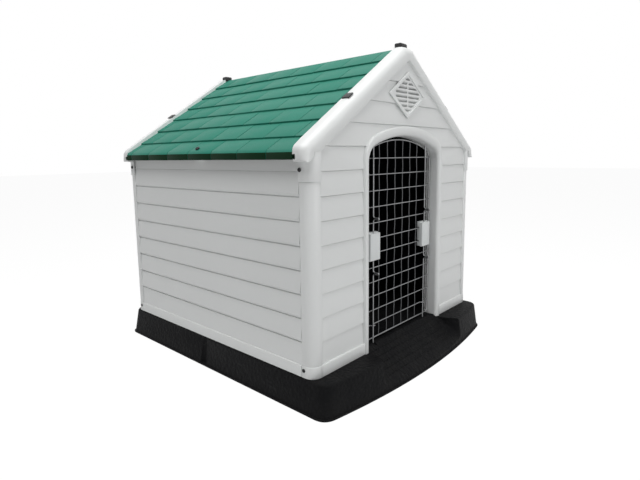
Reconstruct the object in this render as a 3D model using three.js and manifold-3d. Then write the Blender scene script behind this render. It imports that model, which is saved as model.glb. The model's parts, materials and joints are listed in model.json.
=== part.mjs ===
// Plastic dog house: lap-sided walls, shingled gable roof, flared floor tray with a ramp,
// and an arched wire door that hangs on the rods of its right-hand squeeze latch.
// Millimetres. +Z is up, the front faces -Y, and the origin is under the middle of the tray.
import * as THREE from "three";
import { mergeVertices } from "three/addons/utils/BufferGeometryUtils.js";
import Module from "manifold-3d";

const wasm = await Module();
wasm.setup();

// ---- Driving dimensions ----------------------------------------------------------------

const clearance = 0.3;
const boreClearance = 0.5;

const house = { width: 850, front: -405, rear: 475, floor: 86, cornerRadius: 28 };
const middleY = (house.front + house.rear) / 2;
const halfWidth = house.width / 2;

const boards = {
  bandTop: 117,
  firstLine: 176,
  pitch: 60.6,
  proud: 3.5,
  recess: 7.5,
  back: 12,
};

const post = { face: 37, side: 39, skin: 6, top: 650, capBottom: 577, capProud: 3 };

const roof = {
  slope: 0.668,
  ridge: 947,
  eave: 447,
  course: 78.6,
  courses: 7,
  lap: 2,
  skin: 7,
  fasciaBottom: 629,
  fasciaThickness: 6,
};
const pitchAngle = Math.atan(roof.slope);
const rise = 1 / Math.cos(pitchAngle);

const trim = {
  outer: 964.8,
  inner: 903.1,
  end: 453,
  endBottom: 624,
  toe: 418,
  innerEnd: 391,
  front: -10,
  back: 27,
  round: 16,
  apexFlat: 26,
};

const arch = {
  halfWidth: 193,
  top: 691,
  crownRadius: 450,
  shoulderRadius: 50,
  ring: 26,
  front: -4,
  depth: 45,
  round: 18,
};

const vent = { height: 808, halfWidth: 99, halfHeight: 67, rim: 8, rows: 8, rowPitch: 12.6 };

const tray = {
  halfWidth: 444,
  front: -492,
  rear: 492,
  bow: 36,
  corner: 44,
  lip: 3,
  lipHeight: 5,
  draft: 0.03,
  edgeRound: 8,
  shell: 5,
  plateau: 93,
};

const ramp = { halfWidth: 200, topY: -388, bottomY: -478, bottomZ: 24, ribs: 5, ribRadius: 2.4 };

const door = {
  planeY: -375,
  edge: 9.5,
  bottom: 103,
  bottomRadius: 12,
  rowPitch: 42.3,
  upperPitch: 45.8,
  lowerRows: 7,
  rows: 12,
  columnPitch: 41.5,
  columns: 6,
  wireRadius: 1.5,
  frameRadius: 2,
};

const latch = {
  x: 143,
  y: -382.5,
  rodRadius: 1.8,
  width: 48,
  front: -391,
  back: -370,
  bottom: 339,
  top: 421,
  endWall: 5,
  cavityRadius: 3.8,
  washerRadius: 3.4,
  washerThickness: 2.5,
  leverOffset: 38,
  leverReach: 19.5,
  leverGap: 4.2,
  rodTop: 671,
  rodBottom: 87.5,
  keeperRadius: 2.6,
};

const wallBolt = { fromFront: 32, heights: [105.6, 605], headRadius: 5, head: 3, shankRadius: 3 };
const roofBolt = { down: 517, headRadius: 6.5, head: 4, shankRadius: 3, length: 16 };
const clip = { along: 24, across: 24, thickness: 4, slopeX: 252, middle: 29 };

// ---- Finishes --------------------------------------------------------------------------

function finish(color, roughness, metalness = 0) {
  return new THREE.MeshStandardMaterial({ color, roughness, metalness });
}

const wallWhite = finish(0xdadddc, 0.45);
const roofGreen = finish(0x3f8a70, 0.55);
const trayBlack = finish(0x1e1f20, 0.6);
const clipBlack = finish(0x141414, 0.5);
const latchWhite = finish(0xc9cccc, 0.4);
const wireSteel = finish(0x8e9090, 0.35, 0.9);

// ---- Solids and outlines ---------------------------------------------------------------

function solid(geometry) {
  geometry.deleteAttribute("normal");
  geometry.deleteAttribute("uv");
  const merged = mergeVertices(geometry, 0.0005);
  const vertProperties = new Float32Array(merged.attributes.position.array);
  const triVerts = new Uint32Array(merged.index.array);
  return new wasm.Manifold(new wasm.Mesh({ numProp: 3, vertProperties, triVerts }));
}

function geometryOf(body) {
  const mesh = body.getMesh();
  const geometry = new THREE.BufferGeometry();
  geometry.setAttribute("position", new THREE.BufferAttribute(mesh.vertProperties, 3));
  geometry.setIndex(new THREE.BufferAttribute(mesh.triVerts, 1));
  geometry.computeVertexNormals();
  return geometry;
}

const joined = (bodies) => bodies.reduce((whole, body) => whole.add(body));
const less = (body, cuts) => cuts.reduce((whole, cut) => whole.subtract(cut), body);

function polygon(points) {
  return new THREE.Shape(points.map(([x, y]) => new THREE.Vector2(x, y)));
}

function block(x, y, z) {
  const box = new THREE.BoxGeometry(x[1] - x[0], y[1] - y[0], z[1] - z[0]);
  box.translate((x[0] + x[1]) / 2, (y[0] + y[1]) / 2, (z[0] + z[1]) / 2);
  return solid(box);
}

function extrude(shape, length, bevel) {
  const settings = { depth: length, curveSegments: 8, bevelEnabled: Boolean(bevel), ...bevel };
  return new THREE.ExtrudeGeometry(shape, settings);
}

// An outline drawn in x and z, run along y.
function alongY(shape, from, to, bevel) {
  const geometry = extrude(shape, to - from, bevel);
  geometry.rotateX(Math.PI / 2);
  geometry.translate(0, to, 0);
  return solid(geometry);
}

// An outline drawn in y and z, run along x.
function alongX(shape, from, to) {
  const geometry = extrude(shape, to - from);
  const turn = new THREE.Matrix4().makeBasis(
    new THREE.Vector3(0, 1, 0), new THREE.Vector3(0, 0, 1), new THREE.Vector3(1, 0, 0));
  geometry.applyMatrix4(turn);
  geometry.translate(from, 0, 0);
  return solid(geometry);
}

// An outline drawn in x and y, run up z.
function alongZ(shape, from, to, bevel) {
  const geometry = extrude(shape, to - from, bevel);
  geometry.translate(0, 0, from);
  return solid(geometry);
}

function rod(axis, radius, from, to, centre, sides = 12) {
  const geometry = new THREE.CylinderGeometry(radius, radius, to - from, sides);
  geometry.translate(0, (from + to) / 2, 0);
  if (axis === "x") geometry.rotateZ(-Math.PI / 2);
  if (axis === "z") geometry.rotateX(Math.PI / 2);
  geometry.translate(...centre);
  return solid(geometry);
}

function roundEdge(radius, segments = 4) {
  return {
    bevelSize: radius,
    bevelThickness: radius,
    bevelOffset: -radius,
    bevelSegments: segments,
  };
}

// The region under a roof-shaped line whose peak is at the given height.
function underSlopes(peak, bottom, from, to, reach = 470) {
  const low = peak - roof.slope * reach;
  const outline = [[-reach, bottom], [reach, bottom], [reach, low], [0, peak], [-reach, low]];
  return alongY(polygon(outline), from, to);
}

function mesh(name, body, material) {
  const geometry = body.isBufferGeometry ? body : geometryOf(body);
  const piece = new THREE.Mesh(geometry, material);
  piece.name = name;
  return piece;
}

// Turns a right-hand piece into its left-hand twin, half a turn about the middle of the house.
function turnedRound(piece) {
  piece.rotation.z = Math.PI;
  piece.position.y += 2 * middleY;
  return piece;
}

// A wire that passes through every listed point, with one ring of the tube at each.
class WirePath extends THREE.Curve {
  constructor(points) {
    super();
    this.points = points.map((point) => new THREE.Vector3(...point));
  }

  getPoint(t, target = new THREE.Vector3()) {
    const last = this.points.length - 1;
    const index = Math.min(Math.floor(t * last + 1e-9), last - 1);
    return target.copy(this.points[index]).lerp(this.points[index + 1], t * last - index);
  }

  getPointAt(u, target) {
    return this.getPoint(u, target);
  }

  getTangentAt(u, target) {
    return this.getTangent(u, target);
  }
}

function wire(points, radius, sides = 8) {
  const section = new THREE.Shape();
  section.absarc(0, 0, radius, 0, 2 * Math.PI);
  const outline = new THREE.Shape(section.getSpacedPoints(sides).slice(0, sides));
  const settings = { extrudePath: new WirePath(points), steps: points.length - 1 };
  return solid(new THREE.ExtrudeGeometry(outline, { ...settings, bevelEnabled: false }));
}

function arc(cx, cz, radius, from, to, steps) {
  return Array.from({ length: steps + 1 }, (_, i) => {
    const angle = from + ((to - from) * i) / steps;
    return [cx + radius * Math.cos(angle), cz + radius * Math.sin(angle)];
  });
}

// ---- The arch: two shoulders and a flat crown, offset outwards from the clear opening ----

const shoulderX = arch.halfWidth - arch.shoulderRadius;
const crownZ = arch.top - arch.crownRadius;
const crownToShoulder = arch.crownRadius - arch.shoulderRadius;
const shoulderZ = crownZ + Math.sqrt(crownToShoulder ** 2 - shoulderX ** 2);
const shoulderTurn = Math.atan2(shoulderZ - crownZ, shoulderX);

function archLine(offset) {
  const small = arch.shoulderRadius + offset;
  const large = arch.crownRadius + offset;
  const right = arc(shoulderX, shoulderZ, small, 0, shoulderTurn, 6);
  const crown = arc(0, crownZ, large, shoulderTurn, Math.PI - shoulderTurn, 12);
  const left = arc(-shoulderX, shoulderZ, small, Math.PI - shoulderTurn, Math.PI, 6);
  return [...right, ...crown.slice(1, -1), ...left];
}

function archShape(offset, bottom) {
  const half = arch.halfWidth + offset;
  return polygon([[-half, bottom], [half, bottom], ...archLine(offset)]);
}

function archHeight(x, offset = 0) {
  return crownZ + Math.sqrt((arch.crownRadius + offset) ** 2 - x ** 2);
}

// ---- Walls -----------------------------------------------------------------------------

// Section of a wall, outwards to the left: skirting band, then boards that lap downwards.
function boardSection(top, outermost) {
  const face = [[0, house.floor], [0, boards.bandTop]];
  let bottom = boards.bandTop;
  for (let line = boards.firstLine; bottom < top; line += boards.pitch) {
    const end = Math.min(line, top);
    face.push([outermost, bottom], [outermost + boards.recess - boards.proud, end]);
    bottom = line;
  }
  return polygon([...face, [boards.back, top], [boards.back, house.floor]]);
}

// Outline of a corner post, seen from above, with the corner at the right-hand front.
function postShape(proud) {
  const outer = house.cornerRadius + proud;
  const inner = house.cornerRadius - post.skin;
  const turn = [halfWidth - house.cornerRadius, house.cornerRadius];
  const outside = arc(...turn, outer, -Math.PI / 2, 0, 6);
  const inside = arc(...turn, inner, 0, -Math.PI / 2, 6);
  const start = halfWidth - post.face;
  const outerX = halfWidth + proud;
  const innerX = halfWidth - post.skin;
  return polygon([
    [start, -proud], ...outside, [outerX, post.side], [innerX, post.side], ...inside,
    [start, post.skin]]);
}

function mirrored(shapePoints) {
  return polygon(shapePoints.map(([x, y]) => [-x, y]).reverse());
}

function bothSides(shape, from, to) {
  const points = shape.getPoints().map((point) => [point.x, point.y]);
  return alongZ(shape, from, to).add(alongZ(mirrored(points), from, to));
}

function rakeTrim() {
  const shoulder = trim.outer - roof.slope * trim.end;
  const apex = trim.outer - roof.slope * trim.apexFlat;
  const peak = trim.outer - roof.slope * trim.apexFlat * 0.6;
  const innerLow = trim.inner - roof.slope * trim.innerEnd;
  const half = [
    [trim.end, trim.endBottom], [trim.end, shoulder], [trim.apexFlat, apex],
    [trim.apexFlat / 2, peak]];
  const back = half.map(([x, z]) => [-x, z]).reverse();
  const under = [[-trim.toe, innerLow], [-trim.innerEnd, innerLow], [0, trim.inner],
    [trim.innerEnd, innerLow], [trim.toe, innerLow]];
  const band = alongY(polygon([...half, ...back, ...under]),
    trim.front + trim.round, trim.back + trim.round, roundEdge(trim.round));
  return band.intersect(block([-600, 600], [-60, trim.back], [500, 1100]));
}

function doorSurround() {
  const plate = polygon([[-300, -50], [300, -50], [300, 800], [-300, 800]]);
  const half = arch.halfWidth;
  plate.holes.push(new THREE.Path(
    polygon([[-half, 30], [half, 30], ...archLine(0)]).getPoints()));
  const bullNosed = alongY(plate, arch.front + arch.round, arch.depth, roundEdge(arch.round, 5));
  const outside = archShape(arch.ring, house.floor);
  return bullNosed.intersect(alongY(outside, arch.front, arch.depth));
}

// The holes and notches that take the latch rods, in the arch over the door.
function rodKeepers() {
  const y = latch.y - house.front;
  const low = archHeight(latch.x) - 20;
  const hole = rod("z", latch.keeperRadius, low, latch.rodTop + 3, [latch.x, y, 0]);
  const slotHalf = latch.keeperRadius;
  const slot = block([-latch.x - slotHalf, -latch.x + slotHalf], [arch.front - 1, y + slotHalf],
    [low, latch.rodTop + 1]);
  return [hole, slot];
}

function diamond(halfWide, halfHigh) {
  const z = vent.height;
  return polygon([[-halfWide, z], [0, z - halfHigh], [halfWide, z], [0, z + halfHigh]]);
}

function ventSize(inset) {
  const scale = 1 - inset / (vent.halfHeight * Math.cos(Math.atan2(67, 99)));
  return [vent.halfWidth * scale, vent.halfHeight * scale];
}

// One gable end, with its face at y = 0 and the inside of the house towards +y.
function gableWall(hasDoor) {
  const overlap = 25;
  const panel = alongX(boardSection(trim.outer, boards.proud), -400, 400)
    .intersect(underSlopes(trim.inner + overlap, 0, -1, boards.back + 1));
  const ledgePeak = roof.ridge - (roof.skin + 0.6) * rise;
  const ledge = underSlopes(ledgePeak, 600, boards.back - 4, 55)
    .subtract(underSlopes(ledgePeak - 6 * rise, 590, boards.back - 5, 56))
    .intersect(block([-405, 405], [0, 60], [620, 1000]));
  const posts = bothSides(postShape(0), house.floor, post.top);
  const caps = bothSides(postShape(post.capProud), post.capBottom, post.top);
  const holes = [alongY(diamond(...ventSize(6)), -20, 40)];
  for (const z of wallBolt.heights) {
    const bore = wallBolt.shankRadius + boreClearance;
    holes.push(rod("x", bore, -500, 500, [0, wallBolt.fromFront, z]));
  }
  let wall = panel;
  if (hasDoor) {
    wall = wall.subtract(alongY(archShape(arch.ring - 4, 0), -20, 60)).add(doorSurround());
    holes.push(...rodKeepers());
  }
  return less(joined([wall, rakeTrim(), ledge, posts, caps]), holes);
}

// The right-hand side wall. Its end flanges pass behind the posts and take the bolts.
function sideWall() {
  const seam = post.side + clearance;
  const from = house.front + seam;
  const to = house.rear - seam;
  const under = (x) => roof.ridge - (roof.skin + 0.6) * rise - roof.slope * x;
  const section = boardSection(640, 0).getPoints().map((p) => [halfWidth - p.x, p.y]);
  const panel = alongY(polygon(section.reverse()), from, to);
  const back = halfWidth - boards.back;
  const crest = alongY(polygon([
    [back, 620], [halfWidth - 4, 620], [halfWidth - 4, under(halfWidth - 4)],
    [back, under(back)]]), from, to);
  const flangeX = [back - 0.5, halfWidth - post.skin - 1];
  const reach = 24;
  const flangeZ = [house.floor + 2, 640];
  const front = block(flangeX, [house.front + reach, from + 10], flangeZ);
  const rear = block(flangeX, [to - 10, house.rear - reach], flangeZ);
  const holes = [];
  for (const z of wallBolt.heights) {
    for (const y of [house.front + wallBolt.fromFront, house.rear - wallBolt.fromFront]) {
      holes.push(rod("x", wallBolt.shankRadius + boreClearance, 380, 460, [0, y, z]));
    }
  }
  const lugX = roof.eave - roof.fasciaThickness - clearance;
  const lug = alongY(polygon([
    [back + 2, 626], [lugX, 626], [lugX, under(lugX)], [back + 2, under(back + 2)]]),
    middleY - 12, middleY + 12);
  holes.push(eaveBore());
  return less(joined([panel, crest, lug, front, rear]), holes);
}

// ---- Roof ------------------------------------------------------------------------------

// A point of the right-hand slope: distance down it from the ridge, and height off its plane.
function onSlope(down, height) {
  const cos = Math.cos(pitchAngle);
  const sin = Math.sin(pitchAngle);
  return [down * cos + height * sin, roof.ridge - down * sin + height * cos];
}

// Moves a body drawn upright at the origin onto the right-hand slope, square to it.
function squareToSlope(down, height, y) {
  const [x, z] = onSlope(down, height);
  const turn = new THREE.Matrix4().makeRotationY(pitchAngle);
  return turn.setPosition(x, y, z);
}

function eaveBore() {
  const bore = new THREE.CylinderGeometry(
    roofBolt.shankRadius + boreClearance, roofBolt.shankRadius + boreClearance, 60, 12);
  bore.rotateX(Math.PI / 2);
  bore.applyMatrix4(squareToSlope(roofBolt.down, 0, middleY));
  return solid(bore);
}

function roofPanel() {
  const eaveDown = roof.eave * rise;
  const top = [];
  for (let i = 0; i < roof.courses; i += 1) {
    const end = Math.min((i + 1) * roof.course, eaveDown - 3);
    top.push(onSlope(i * roof.course, -roof.lap), onSlope(end, roof.lap));
  }
  const inner = roof.eave - roof.fasciaThickness;
  const underAt = (x) => roof.ridge - roof.skin * rise - roof.slope * x;
  const outline = polygon([
    [0, underAt(0)], ...[...top].map(([x, z]) => [x, z]), [roof.eave, underAt(roof.eave) + 3],
    [roof.eave, roof.fasciaBottom], [inner, roof.fasciaBottom], [inner, underAt(inner)]]
    .reverse());
  const ends = [house.front + trim.back + clearance, house.rear - trim.back - clearance];
  const panel = alongY(outline, ...ends);
  const ridgeCut = block([-60, clearance / 2], [-600, 600], [800, 1100]);
  return less(panel, [ridgeCut, eaveBore()]);
}

// ---- Floor tray ------------------------------------------------------------------------

// Plan of the tray: straight sides and back, rounded corners and a bowed front.
function trayShape(inset) {
  const half = tray.halfWidth - inset;
  const rear = tray.rear - inset;
  const front = tray.front + inset;
  const radius = tray.corner - inset * 0.5;
  const start = half - radius;
  const bend = (2 * tray.bow) / start;
  const corner = front + tray.bow;
  const control = corner + bend * radius;
  const shape = new THREE.Shape();
  shape.moveTo(half, control + radius);
  shape.lineTo(half, rear - radius);
  shape.quadraticCurveTo(half, rear, start, rear);
  shape.lineTo(-start, rear);
  shape.quadraticCurveTo(-half, rear, -half, rear - radius);
  shape.lineTo(-half, control + radius);
  shape.quadraticCurveTo(-half, control, -start, corner);
  shape.quadraticCurveTo(0, front - tray.bow, start, corner);
  shape.quadraticCurveTo(half, control, half, control + radius);
  return shape;
}

// Draws the walls of the tray in as they rise.
function drafted(geometry) {
  const position = geometry.attributes.position;
  for (let i = 0; i < position.count; i += 1) {
    const scale = 1 - (tray.draft * position.getZ(i)) / house.floor;
    position.setX(i, position.getX(i) * scale);
    position.setY(i, position.getY(i) * scale);
  }
  return geometry;
}

function trayBlank(inset, top, round) {
  const geometry = extrude(trayShape(inset), top - round + 20, {
    bevelEnabled: true, ...roundEdge(round, 3) });
  geometry.translate(0, 0, -20);
  return solid(drafted(geometry)).intersect(block([-600, 600], [-600, 600], [0, 200]));
}

// The wedge of air over the ramp; a positive depth sinks its slope into the tray.
function overRamp(half, depth) {
  const drop = tray.plateau - ramp.bottomZ;
  const run = ramp.topY - ramp.bottomY;
  const low = ramp.bottomZ - depth - drop * 0.6;
  const far = ramp.bottomY - run * 0.6;
  const near = tray.plateau - depth + 40;
  const outline = polygon([
    [ramp.topY + (run * 40) / drop, near], [far, near], [far, low],
    [ramp.topY, tray.plateau - depth]].reverse());
  return alongX(outline, -half, half);
}

function sideGroove(wider) {
  const cone = new THREE.CylinderGeometry(24 + wider, 17 + wider, house.floor + 40, 16);
  cone.rotateX(Math.PI / 2);
  cone.translate(tray.halfWidth + 6, middleY + 10, house.floor / 2);
  const right = solid(cone);
  const turn = new THREE.CylinderGeometry(24 + wider, 17 + wider, house.floor + 40, 16);
  turn.rotateX(Math.PI / 2);
  turn.translate(-tray.halfWidth - 6, middleY + 10, house.floor / 2);
  return [right, solid(turn)];
}

function rampRibs() {
  const drop = tray.plateau - ramp.bottomZ;
  const run = ramp.topY - ramp.bottomY;
  return Array.from({ length: ramp.ribs }, (_, i) => {
    const along = (i + 1) / (ramp.ribs + 0.7);
    const centre = [0, ramp.topY - run * along, tray.plateau - drop * along];
    const half = ramp.halfWidth - 12;
    return rod("x", ramp.ribRadius, -half, half, centre, 8);
  });
}

function floorTray() {
  const shelf = house.floor - clearance;
  const outside = trayBlank(tray.lip, shelf, tray.edgeRound);
  const lip = alongZ(trayShape(0), 0, tray.lipHeight);
  const insideWalls = halfWidth - boards.back - 1.5;
  const plateauFront = house.front + arch.depth + clearance;
  const plateau = block([-insideWalls, insideWalls],
    [plateauFront, house.rear - arch.depth - clearance], [house.floor - 4, tray.plateau]);
  const sillHalf = arch.halfWidth - clearance;
  const sill = block([-sillHalf, sillHalf], [ramp.topY - 30, plateauFront + 2],
    [house.floor - 4, tray.plateau]);

  // The hollow underneath keeps clear of the ramp and grooves, and leaves a grid of ribs.
  const hollow = trayBlank(tray.lip + tray.shell, house.floor - tray.shell, 4);
  const ribs = [];
  for (const x of [-210, 0, 210]) ribs.push(block([x - 2, x + 2], [-470, 480], [-5, 100]));
  for (const y of [-240, 35, 310]) ribs.push(block([-440, 440], [y - 2, y + 2], [-5, 100]));
  const kept = [overRamp(ramp.halfWidth + 6, 7), ...sideGroove(tray.shell), ...ribs];
  const cavity = less(hollow, kept);

  const keeper = latch.keeperRadius;
  const keeperTop = tray.plateau + 5;
  const keeperBottom = latch.rodBottom - 1;
  const hole = rod("z", keeper, keeperBottom, keeperTop, [latch.x, latch.y, 0]);
  const slot = block([-latch.x - keeper, -latch.x + keeper], [ramp.topY - 20, latch.y + keeper],
    [keeperBottom, keeperTop]);
  const body = joined([outside, lip, plateau, sill]);
  const cuts = [cavity, overRamp(ramp.halfWidth, 0), ...sideGroove(0), hole, slot];
  return joined([less(body, cuts), ...rampRibs()]);
}

// ---- Vents, clips and bolts --------------------------------------------------------------

function ventGrille() {
  const rim = alongY(diamond(vent.halfWidth, vent.halfHeight), -1, boards.proud - clearance)
    .subtract(alongY(diamond(...ventSize(vent.rim)), -2, 5));
  const plug = alongY(diamond(...ventSize(6 + 2 * clearance)), 1, boards.back + 1)
    .subtract(alongY(diamond(...ventSize(vent.rim + 1)), 6.5, 20));
  const panes = alongY(diamond(...ventSize(vent.rim + 5)), -5, 30);
  const bars = joined(Array.from({ length: vent.rows }, (_, i) => {
    const z = vent.height + (i - (vent.rows - 1) / 2) * vent.rowPitch;
    return block([-90, 90], [-6, 31], [z - 3.1, z + 3.1]);
  }));
  const halfRows = (vent.rowPitch * (vent.rows - 2)) / 2;
  const spine = block([-3.2, 3.2], [-7, 32], [vent.height - halfRows, vent.height + halfRows]);
  const recess = alongY(diamond(...ventSize(vent.rim)), -2, 3);
  return less(rim.add(plug), [recess, panes.intersect(bars).subtract(spine)]);
}

// A clip that bridges the step from the rake trim down to the roof, at the front end.
function roofClip(x) {
  const y = house.front + clip.middle;
  const low = -20;
  const high = (trim.outer - roof.ridge) / rise + clip.thickness;
  const box = new THREE.BoxGeometry(clip.along, clip.across, high - low);
  box.translate(0, y, (high + low) / 2);
  box.rotateY(Math.sign(x) * pitchAngle);
  box.translate(x, 0, roof.ridge - roof.slope * Math.abs(x));
  const seat = clearance * rise;
  const overTrim = underSlopes(trim.outer + seat, 500, -600, house.front + trim.back + 1);
  const overRoof = underSlopes(roof.ridge + roof.lap * rise + seat, 500, -600, 600);
  return less(solid(box), [overTrim, overRoof]);
}

function ridgeClip() {
  const y = [house.front + clip.middle - clip.across / 2,
    house.front + clip.middle + clip.across / 2];
  const flat = trim.outer - roof.slope * trim.apexFlat * 0.6;
  const half = clip.along / 2 + 2;
  const cap = block([-half, half], y, [roof.ridge - 8, flat + clip.thickness]);
  const seat = clearance * rise;
  const overTrim = underSlopes(trim.outer + seat, 500, -600, house.front + trim.back + 1);
  const overRoof = underSlopes(roof.ridge + roof.lap * rise + seat, 500, -600, 600);
  return less(cap, [overTrim, overRoof]);
}

function boltBody(spec, length) {
  const head = rod("x", spec.headRadius, clearance, clearance + spec.head, [0, 0, 0], 12);
  return head.add(rod("x", spec.shankRadius, -length, clearance + 1, [0, 0, 0], 10));
}

function eaveBolt() {
  const bolt = boltBody(roofBolt, roofBolt.length);
  const geometry = geometryOf(bolt);
  geometry.rotateY(-Math.PI / 2);
  geometry.applyMatrix4(squareToSlope(roofBolt.down, roof.lap, middleY));
  return geometry;
}

function wallBolts() {
  const bolts = [];
  for (const side of ["left", "right"]) {
    for (const end of ["front", "rear"]) {
      for (const [i, level] of ["lower", "upper"].entries()) {
        const body = boltBody(wallBolt, 17);
        const bolt = mesh(`bolt_${side}_${end}_${level}`, body, clipBlack);
        const out = halfWidth + (level === "upper" ? post.capProud : 0);
        const inset = wallBolt.fromFront;
        bolt.position.set(out, end === "front" ? house.front + inset : house.rear - inset,
          wallBolt.heights[i]);
        if (side === "left") {
          bolt.position.x = -out;
          bolt.rotation.z = Math.PI;
        }
        bolts.push(bolt);
      }
    }
  }
  return bolts;
}

// ---- Door and latches ----------------------------------------------------------------------

function doorFrame() {
  const half = arch.halfWidth - door.edge;
  const r = door.bottomRadius;
  const quarter = Math.PI / 2;
  const right = arc(half - r, door.bottom + r, r, -quarter, 0, 4);
  const left = arc(-half + r, door.bottom + r, r, Math.PI, Math.PI + quarter, 4);
  const line = [[3, door.bottom], ...right, ...archLine(-door.edge), ...left,
    [-3, door.bottom]];
  const weld = rod("x", door.frameRadius + 0.3, -5, 5, [0, door.planeY, door.bottom], 8);
  return wire(line.map(([x, z]) => [x, door.planeY, z]), door.frameRadius, 6).add(weld);
}

// Height of a cross wire; the upper rows are set a little wider apart.
function rowHeight(row) {
  const upper = Math.max(0, row - door.lowerRows);
  return door.bottom + (row - upper) * door.rowPitch + upper * door.upperPitch;
}

function crossWire(row) {
  const half = arch.halfWidth - door.edge;
  const z = rowHeight(row);
  const y = door.planeY - door.wireRadius;
  const guides = row === 1 || row === door.rows;
  const reach = latch.y - latch.rodRadius - door.wireRadius - 1;
  const loop = (side) => [
    [side * (latch.x - 7), y, z], [side * (latch.x - 4), reach, z],
    [side * (latch.x + 4), reach, z], [side * (latch.x + 7), y, z]];
  const right = guides ? loop(1) : [];
  const left = guides ? loop(-1).reverse() : [];
  const end = row === door.rows ? half - 3 : half;
  return wire([[-end, y, z], ...left, ...right, [end, y, z]], door.wireRadius, 6);
}

function uprightWire(column) {
  const x = (column - (door.columns - 1) / 2) * door.columnPitch;
  const top = archHeight(x, -door.edge) + 0.5;
  const y = door.planeY + 0.9;
  return rod("z", door.wireRadius, door.bottom - 0.5, top, [x, y, 0], 6);
}

function doorGrid() {
  const rows = Array.from({ length: door.rows }, (_, i) => crossWire(i + 1));
  const columns = Array.from({ length: door.columns }, (_, i) => uprightWire(i));
  return joined([doorFrame(), ...rows, ...columns]);
}

// A latch rod with its finger loop: direction +1 is the upper rod, -1 the lower one.
function latchRod(direction) {
  const upper = direction > 0;
  const end = upper ? latch.rodTop : latch.rodBottom;
  const box = upper ? latch.top : latch.bottom;
  const lever = box + direction * latch.leverOffset;
  const washer = box - direction * (latch.endWall + clearance);
  const tip = latch.y - latch.leverReach;
  const g = (latch.leverGap / 2) * direction;
  const bend = 4;
  const path = [
    [0, latch.y, washer - direction], [0, latch.y, lever - g - bend * direction],
    [0, latch.y - 1.2, lever - g - 1.2 * direction], [0, latch.y - bend, lever - g],
    [0, tip + 2, lever - g], [0, tip, lever], [0, tip + 2, lever + g],
    [0, latch.y - bend, lever + g], [0, latch.y - 1.2, lever + g + 1.2 * direction],
    [0, latch.y, lever + g + bend * direction], [0, latch.y, end]];
  const disc = [washer, washer - direction * latch.washerThickness].sort((a, b) => a - b);
  return wire(path, latch.rodRadius)
    .add(rod("z", latch.washerRadius, ...disc, [0, latch.y, 0]));
}

function latchBore() {
  const bore = latch.endWall;
  return rod("z", latch.cavityRadius, latch.bottom + bore, latch.top - bore, [0, latch.y, 0])
    .add(rod("z", latch.rodRadius + 0.5, latch.bottom - 5, latch.top + 5, [0, latch.y, 0]));
}

function latchCover() {
  const half = latch.width / 2;
  const round = 3;
  const face = polygon([
    [-half, latch.bottom], [half, latch.bottom], [half, latch.top], [-half, latch.top]]);
  const shell = alongY(face, latch.front + round, latch.y + round, roundEdge(round, 3))
    .intersect(block([-50, 50], [-450, latch.y - clearance / 2], [300, 450]));
  return shell.subtract(latchBore());
}

function latchBody() {
  const half = latch.width / 2 - 1;
  const body = block([-half, half], [latch.y + clearance / 2, latch.back],
    [latch.bottom + 1, latch.top - 1]);
  const wireY = door.planeY - door.wireRadius;
  const grooves = [6, 7].map((row) => {
    const z = rowHeight(row);
    const gap = door.wireRadius + clearance;
    return block([-30, 30], [wireY - gap, -300], [z - gap, z + gap]);
  });
  return less(body, [latchBore(), ...grooves]);
}

function latchSpring() {
  const turns = 10;
  const washers = latch.endWall + latch.washerThickness + 2 * clearance;
  const radius = 2.7;
  const thick = 0.5;
  const bottom = latch.bottom + washers + thick;
  const rise = (latch.top - washers - thick - bottom) / turns;
  const points = Array.from({ length: turns * 8 + 1 }, (_, i) => {
    const angle = (i * Math.PI) / 4;
    return [radius * Math.cos(angle), latch.y + radius * Math.sin(angle), bottom + (rise * i) / 8];
  });
  return wire(points, thick, 5);
}

function latchSet(side) {
  const set = new THREE.Group();
  const steel = (name, body) => set.add(mesh(`${side}_${name}`, body, wireSteel));
  set.add(mesh(`${side}_latch_cover`, latchCover(), latchWhite));
  set.add(mesh(`${side}_latch_body`, latchBody(), latchWhite));
  steel("upper_rod", latchRod(1));
  steel("lower_rod", latchRod(-1));
  steel("latch_spring", latchSpring());
  set.position.x = side === "right" ? latch.x : -latch.x;
  return set;
}

// ---- Assembly --------------------------------------------------------------------------

const group = new THREE.Group();

group.add(mesh("floor_tray", floorTray(), trayBlack));

const frontWall = mesh("front_wall", gableWall(true), wallWhite);
frontWall.position.y = house.front;
const rearWall = mesh("rear_wall", gableWall(false), wallWhite);
rearWall.rotation.z = Math.PI;
rearWall.position.y = house.rear;
group.add(frontWall, rearWall);

group.add(mesh("right_wall", sideWall(), wallWhite));
group.add(turnedRound(mesh("left_wall", sideWall(), wallWhite)));
group.add(mesh("roof_right", roofPanel(), roofGreen));
group.add(turnedRound(mesh("roof_left", roofPanel(), roofGreen)));

const frontVent = mesh("front_vent", ventGrille(), wallWhite);
frontVent.position.y = house.front;
const rearVent = mesh("rear_vent", ventGrille(), wallWhite);
rearVent.rotation.z = Math.PI;
rearVent.position.y = house.rear;
group.add(frontVent, rearVent);

group.add(mesh("clip_front_ridge", ridgeClip(), clipBlack));
group.add(mesh("clip_front_left", roofClip(-clip.slopeX), clipBlack));
group.add(mesh("clip_front_right", roofClip(clip.slopeX), clipBlack));
group.add(turnedRound(mesh("clip_rear_ridge", ridgeClip(), clipBlack)));
group.add(turnedRound(mesh("clip_rear_left", roofClip(clip.slopeX), clipBlack)));
group.add(turnedRound(mesh("clip_rear_right", roofClip(-clip.slopeX), clipBlack)));

group.add(...wallBolts());
group.add(mesh("bolt_eave_right", eaveBolt(), clipBlack));
group.add(turnedRound(mesh("bolt_eave_left", eaveBolt(), clipBlack)));

group.add(mesh("door_grid", doorGrid(), wireSteel));
group.add(latchSet("left"), latchSet("right"));

export default group;
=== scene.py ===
import json
import math
import random

import bmesh
import bpy
from mathutils import Matrix, Vector

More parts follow.
